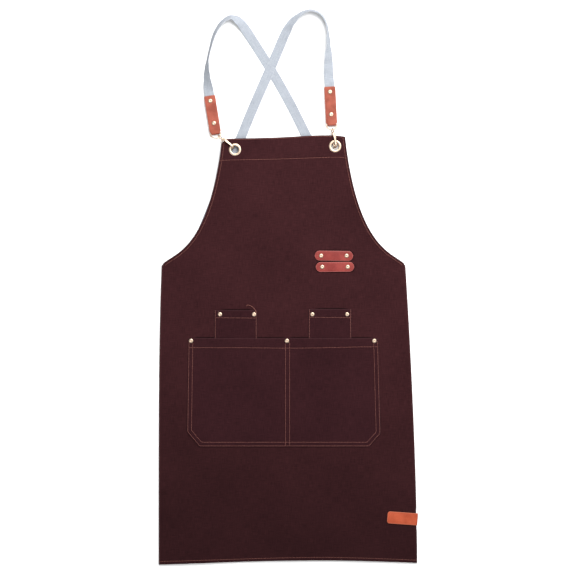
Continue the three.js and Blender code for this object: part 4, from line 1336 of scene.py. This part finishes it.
# The side label: one leather strip round the right fold, its front leg the longer, with a plain
# pressed border line.
def makeLabel():
    size = labelSize
    low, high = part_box("side_label")
    right = high.x * 1000 - hemOrigin[0] - 0.2
    middleY = (low.y + high.y) * 500 - hemOrigin[1]
    top = high.z * 1000 - size["thick"] / 2 + 0.5
    radius = top / 2 - size["thick"] / 4
    bottom = top - 2 * radius
    front = np.concatenate([denseEdge(6.0, 14), np.linspace(6.0, size["front"] - 3, 60)[1:]])
    turn = np.linspace(0, np.pi, 16)[1:-1]
    back = np.linspace(0, size["back"] - 3, 14)
    s = np.concatenate([-(size["front"] - front), -radius + radius * np.sin(turn), -radius - back])
    z = np.concatenate(
        [np.full(len(front), top), bottom + radius + radius * np.cos(turn), np.full(len(back), bottom)]
    )
    fromEnd = np.concatenate([front, np.full(len(turn) + len(back), 50.0)])
    rounding = roundedEdge(fromEnd, size["corner"])
    half = size["height"] / 2 - rounding
    path = np.stack([right + s, np.full(len(s), middleY), z], 1)
    tilt = np.radians(size["tilt"])
    path[:, 1] += (right - path[:, 0]) * -np.tan(tilt) * 0.9 - 1.0
    along = unit(np.gradient(path, axis=0))
    across = np.broadcast_to(np.array([np.sin(tilt) * -1, np.cos(tilt), 0.0]), path.shape)
    out = unit(np.cross(across, along))
    out *= np.sign(out[:1, 2:3])
    rings, wide, edge = leatherStrip(path, across, out, half, size["thick"], 0.15, 90)
    edge = np.maximum(edge, smooth((1.4 - fromEnd) / 1.4)[:, None])
    rim = np.minimum(half[:, None] - np.abs(wide) + 0 * wide, fromEnd[:, None])
    onFront = smooth((-s - 4) / 3)[:, None]
    press = 0.3 * bump(rim - size["border"], 0.5) * onFace(rings, path, out) * onFront
    rings = rings - out[:, None] * press[..., None]
    makeLeatherPiece("sideLabel", rings, labelLeather, edge, "side_label")


for side in ("left", "right"):
    makeTab(side)
for name in towelLoops:
    makeLoop(name)
makeLabel()
print("leather made")


# Metal.

# A rivet's cap is a low dome with a small centre dimple and a rolled rim; its foot is a flat disc.
rivetShape = {
    "cap": (
        (0.0, 0.55), (0.5, 0.6), (0.95, 1.25), (1.5, 1.52), (2.6, 1.5), (3.5, 1.25), (4.15, 0.75), (4.5, 0.3),
        (4.35, 0.03), (3.9, -0.02), (0.0, -0.02),
    ),
    "foot": (
        (0.0, 0.0), (3.9, 0.0), (4.4, 0.2), (4.5, 0.45), (4.2, 0.75), (1.5, 0.82), (1.45, 1.5), (0.0, 1.5),
    ),
}


def makeRivet(name):
    low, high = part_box("rivet_cap_" + name)
    footLow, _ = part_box("rivet_post_" + name)
    x, y = (low.x + high.x) * 500 - hemOrigin[0], (low.y + high.y) * 500 - hemOrigin[1]
    shells = []
    for part, base in (("cap", low.z * 1000 - 0.15), ("foot", footLow.z * 1000)):
        height, east, north = turnedShape([(h, r) for r, h in rivetShape[part]], 36)
        shells.append((np.stack([x + east, y + north, base + height], -1), False))
    piece = makeShells("rivet_" + name, shells, paleGold)
    placePiece(piece, "apron", "pale_gold", "rivet_cap_" + name, "rivet_post_" + name)


rivetNames = [n[len("rivet_cap_"):] for n in frame["nodes"] if n.startswith("rivet_cap_")]
for name in sorted(rivetNames):
    makeRivet(name)

grommetShape = {
    "front": (
        (7.5, -0.9), (8.15, -1.0), (8.2, 0.6), (8.5, 1.15), (12.0, 1.15), (12.5, 1.35), (12.35, 1.72),
        (11.3, 2.12), (10.0, 2.32), (8.7, 2.12), (7.75, 1.5), (7.5, 0.6),
    ),
    "washer": ((8.4, -0.75), (11.3, -0.75), (11.5, -0.5), (11.2, -0.3), (8.6, -0.3), (8.4, -0.5)),
}


def closedTurn(profile):
    line = curveThrough([*profile, profile[0]], 3)[0][:-1]
    turn = circleOf(48)[:, None]
    return np.stack([np.cos(turn) * line[:, 0], np.sin(turn) * line[:, 0], line[:, 1] + 0 * turn], -1)


def makeGrommet(side):
    x, y = grommetPlaces[side]
    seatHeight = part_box("grommet_washer_" + side)[1].z * 1000 + 0.3
    for part, name, node in (
        ("front", "grommetFront_", "grommet_"), ("washer", "grommetWasher_", "grommet_washer_"),
    ):
        rings = closedTurn(grommetShape[part]) + np.array([x, y, seatHeight])
        piece = makeShells(name + side, [(rings, True)], paleGold)
        placePiece(piece, "apron", "pale_gold", node + side)


for side in ("left", "right"):
    makeGrommet(side)
print("rivets and grommets made")

fittings = {
    "wire": 1.2, "ringRadius": 10.4, "ringLeg": 2.5, "ringCorner": 2.4,
    "eyeCore": 3.9, "eyeTube": 1.05, "eyeTilt": 12.0, "head": 2.3,
    "axisHeight": 9.6, "bow": 6.3, "reach": 37.0, "bar": 1.2, "barWide": 2.0, "tip": 23.2,
    "pivot": 14.6, "gateTip": 24.6, "gateBar": 0.7, "gateWide": 1.6,
}


# A round wire along a path in a plane: closed, with the plane's normal given.
def wireRings(path, normal, radius, count=16, loop=True):
    if loop:
        along = unit(np.roll(path, -1, 0) - np.roll(path, 1, 0))
    else:
        along = unit(np.gradient(path, axis=0))
    up = np.broadcast_to(np.asarray(normal, float), path.shape)
    across = unit(np.cross(along, up))
    rings, _ = carried(path, across, np.broadcast_to(up, path.shape), radius, radius, count)
    return rings


def arc(cx, cy, radius, start, stop, count):
    turn = np.radians(np.linspace(start, stop, count))
    return np.stack([cx + radius * np.cos(turn), cy + radius * np.sin(turn)], 1)


def makeDRing(side):
    f = fittings
    bar, across, _ = tabFrame(side)
    lean = math.atan2(across[1], across[0])
    along = jointAxis("snap_hook_" + side + "_swivel")
    heading = math.atan2(along[0], -along[1])
    reach = f["ringLeg"] + f["ringRadius"] * math.cos(heading - lean)
    rise = math.asin((f["axisHeight"] - tabMiddle) / reach)
    up = np.array([-math.sin(lean) * math.cos(rise), math.cos(lean) * math.cos(rise), -math.sin(rise)])
    normal = np.cross(across, up)
    r, c, leg = f["ringRadius"], f["ringCorner"], f["ringLeg"]
    flat = np.vstack([
        np.stack([np.linspace(-r + c, r - c, 12)[:-1], np.zeros(11)], 1),
        arc(r - c, -c, c, 90, 0, 8), arc(0, -leg, r, -1.5, -178.5, 44), arc(-r + c, -c, c, 180, 90, 8)[:-1],
    ])
    path = np.column_stack([flat, np.zeros(len(flat))])
    rings = wireRings(path, (0, 0, 1.0), f["wire"], 18)
    piece = makeShells("dRing_" + side, [(rings, True)], paleGold, (bar, np.array([across, up, normal])))
    placePiece(piece, "d_ring_" + side, "pale_gold", "d_ring_" + side)


# A hook's own directions: x along the swivel, y across the gate, z towards the spine.
def hookFrame(side):
    along = jointAxis("snap_hook_" + side + "_swivel")
    across = -jointAxis("hook_gate_" + side + "_open")
    across = unit(across - along * (across @ along))
    return jointPlace("snap_hook_" + side + "_swivel"), np.array([along, across, np.cross(along, across)])


def aboutX(profile):
    return np.stack(turnedShape(profile), -1)


# A flat bar bent in the plane of x and z through stations of x, z, half thickness and half width.
def bentBar(stations, perSpan=8, count=20):
    line, _ = curveThrough(stations, perSpan)
    path = np.stack([line[:, 0], 0 * line[:, 0], line[:, 1]], 1)
    along = unit(np.gradient(path, axis=0))
    across = np.broadcast_to(np.array([0, 1.0, 0]), path.shape)
    up = np.cross(across, along)
    rings, _ = carried(path, across, up, line[:, 3], line[:, 2], count, 3.0)
    return rings


def crossPin(x, z, profile):
    along, side, rise = turnedShape(profile, 24)
    return np.stack([x + side, along, z + rise], -1)


eyeCentre = fittings["eyeCore"] - fittings["wire"] - fittings["eyeTube"] - 0.3
barrelStart = eyeCentre + fittings["eyeCore"] + fittings["eyeTube"] + 0.3
barrelEnd = barrelStart + 4


# A hook is four pieces: the eye with its stem, the body with spine and jaws, the gate and its pin.
def makeHook(side):
    f = fittings
    place = hookFrame(side)
    tilt = math.radians(90 - f["eyeTilt"])
    turn = circleOf(40)
    flat = np.stack([f["eyeCore"] * np.cos(turn), f["eyeCore"] * np.sin(turn)], 1)
    path = np.stack([eyeCentre + flat[:, 0], flat[:, 1] * math.cos(tilt), flat[:, 1] * math.sin(tilt)], 1)
    ring = wireRings(path, (0, -math.sin(tilt), math.cos(tilt)), f["eyeTube"], 14)
    neck = eyeCentre + f["eyeCore"]
    stem = aboutX(
        (
            (neck - 0.3, 0.0), (neck - 0.3, 1.3), (neck + 0.6, 1.45), (neck + 1.4, 1.35),
            (barrelStart + 1.4, 1.35), (barrelStart + 1.5, 2.1), (barrelEnd - 1.5, 2.1),
            (barrelEnd - 1.4, 0.0),
        )
    )
    eye = makeShells("swivelEye_" + side, [(ring, True), (stem, False)], paleGold, place)
    placePiece(eye, "swivel_eye_" + side, "pale_gold", "swivel_eye_" + side)

    bow, wide = f["bow"], f["barWide"]
    centre = f["reach"] - bow
    barrel = aboutX(
        (
            (barrelStart, 1.65), (barrelStart, 2.9), (barrelStart + 0.25, 3.35), (barrelStart + 0.8, 3.6),
            (barrelEnd - 0.8, 3.6), (barrelEnd - 0.2, 3.3), (barrelEnd, 2.8), (barrelEnd, 0.0),
        )
    )
    shoulder = f["head"] + 0.3 + f["bar"] + 0.2
    stations = [
        (barrelStart + 2, shoulder - 0.2, f["bar"], wide + 0.6),
        (barrelEnd, shoulder + 0.5, f["bar"], wide + 0.6),
        (barrelEnd + 4, bow - 0.1, f["bar"], wide + 0.6), (barrelEnd + 10, bow, f["bar"], wide + 0.3),
        (centre - 2, bow, f["bar"], wide),
    ]
    for degrees in np.linspace(90, -90, 7):
        stations.append(
            (
                centre + bow * math.cos(math.radians(degrees)), bow * math.sin(math.radians(degrees)),
                f["bar"], wide,
            )
        )
    stations += [
        (centre - 4, -bow, f["bar"], wide), (f["tip"] + 0.3, -bow - 0.35, 0.85, wide - 0.3),
        (f["tip"], -bow - 0.38, 0.3, wide - 1.0),
    ]
    spine = bentBar(stations, 8)
    jaws = []
    for sign in (-1, 1):
        jaw = bentBar(
            [
                (barrelStart + 2, -shoulder + 0.2, f["bar"], 0.75),
                (barrelEnd + 1, -shoulder - 0.7, f["bar"], 0.75), (f["pivot"] - 1.2, -bow, 1.5, 0.75),
                (f["pivot"] + 0.4, -bow, 1.75, 0.75), (f["pivot"] + 1.6, -bow, 1.0, 0.7),
            ],
            6, 16,
        )
        jaws.append((jaw + np.array([0, sign * 1.85, 0]), False))
    hook = makeShells("snapHook_" + side, [(barrel, False), (spine, False), *jaws], paleGold, place)
    placePiece(hook, "snap_hook_" + side, "pale_gold", "snap_hook_" + side)

    gate = bentBar(
        [
            (f["pivot"] - 0.2, -bow, 0.9, 0.9), (f["pivot"] + 1.8, -bow, 0.8, 0.9),
            (f["pivot"] + 3.0, -bow, f["gateBar"], f["gateWide"]),
            (f["gateTip"] - 3.6, -bow + 0.1, f["gateBar"], f["gateWide"]),
            (f["gateTip"] - 2, -bow + 1.4, f["gateBar"], f["gateWide"]),
            (f["gateTip"], -bow + 1.9, f["gateBar"] * 0.8, f["gateWide"] * 0.85),
        ],
        7,
    )
    knuckle = crossPin(
        f["pivot"], -bow, ((-0.9, 0.55), (-0.9, 1.3), (-0.75, 1.5), (0.75, 1.5), (0.9, 1.3), (0.9, 0.55)),
    )
    lever = makeShells("hookGate_" + side, [(gate, False), (knuckle, False)], paleGold, place)
    placePiece(lever, "hook_gate_" + side, "pale_gold", "hook_gate_" + side)

    pin = crossPin(
        f["pivot"], -bow,
        (
            (-3.3, 0.0), (-3.3, 0.6), (-3.1, 1.0), (-2.9, 1.05), (-2.9, 0.5), (2.9, 0.5), (2.9, 1.05),
            (3.1, 1.0), (3.3, 0.6), (3.3, 0.0),
        ),
    )
    rod = makeShells("gatePin_" + side, [(pin, False)], paleGold, place)
    placePiece(rod, "snap_hook_" + side, "pale_gold", "gate_pin_" + side)


for side in ("left", "right"):
    makeDRing(side)
    makeHook(side)
    spring = frame["nodes"]["gate_spring_" + side]
    spring.data.materials.clear()
    spring.data.materials.append(springSteel)
print("hooks made")
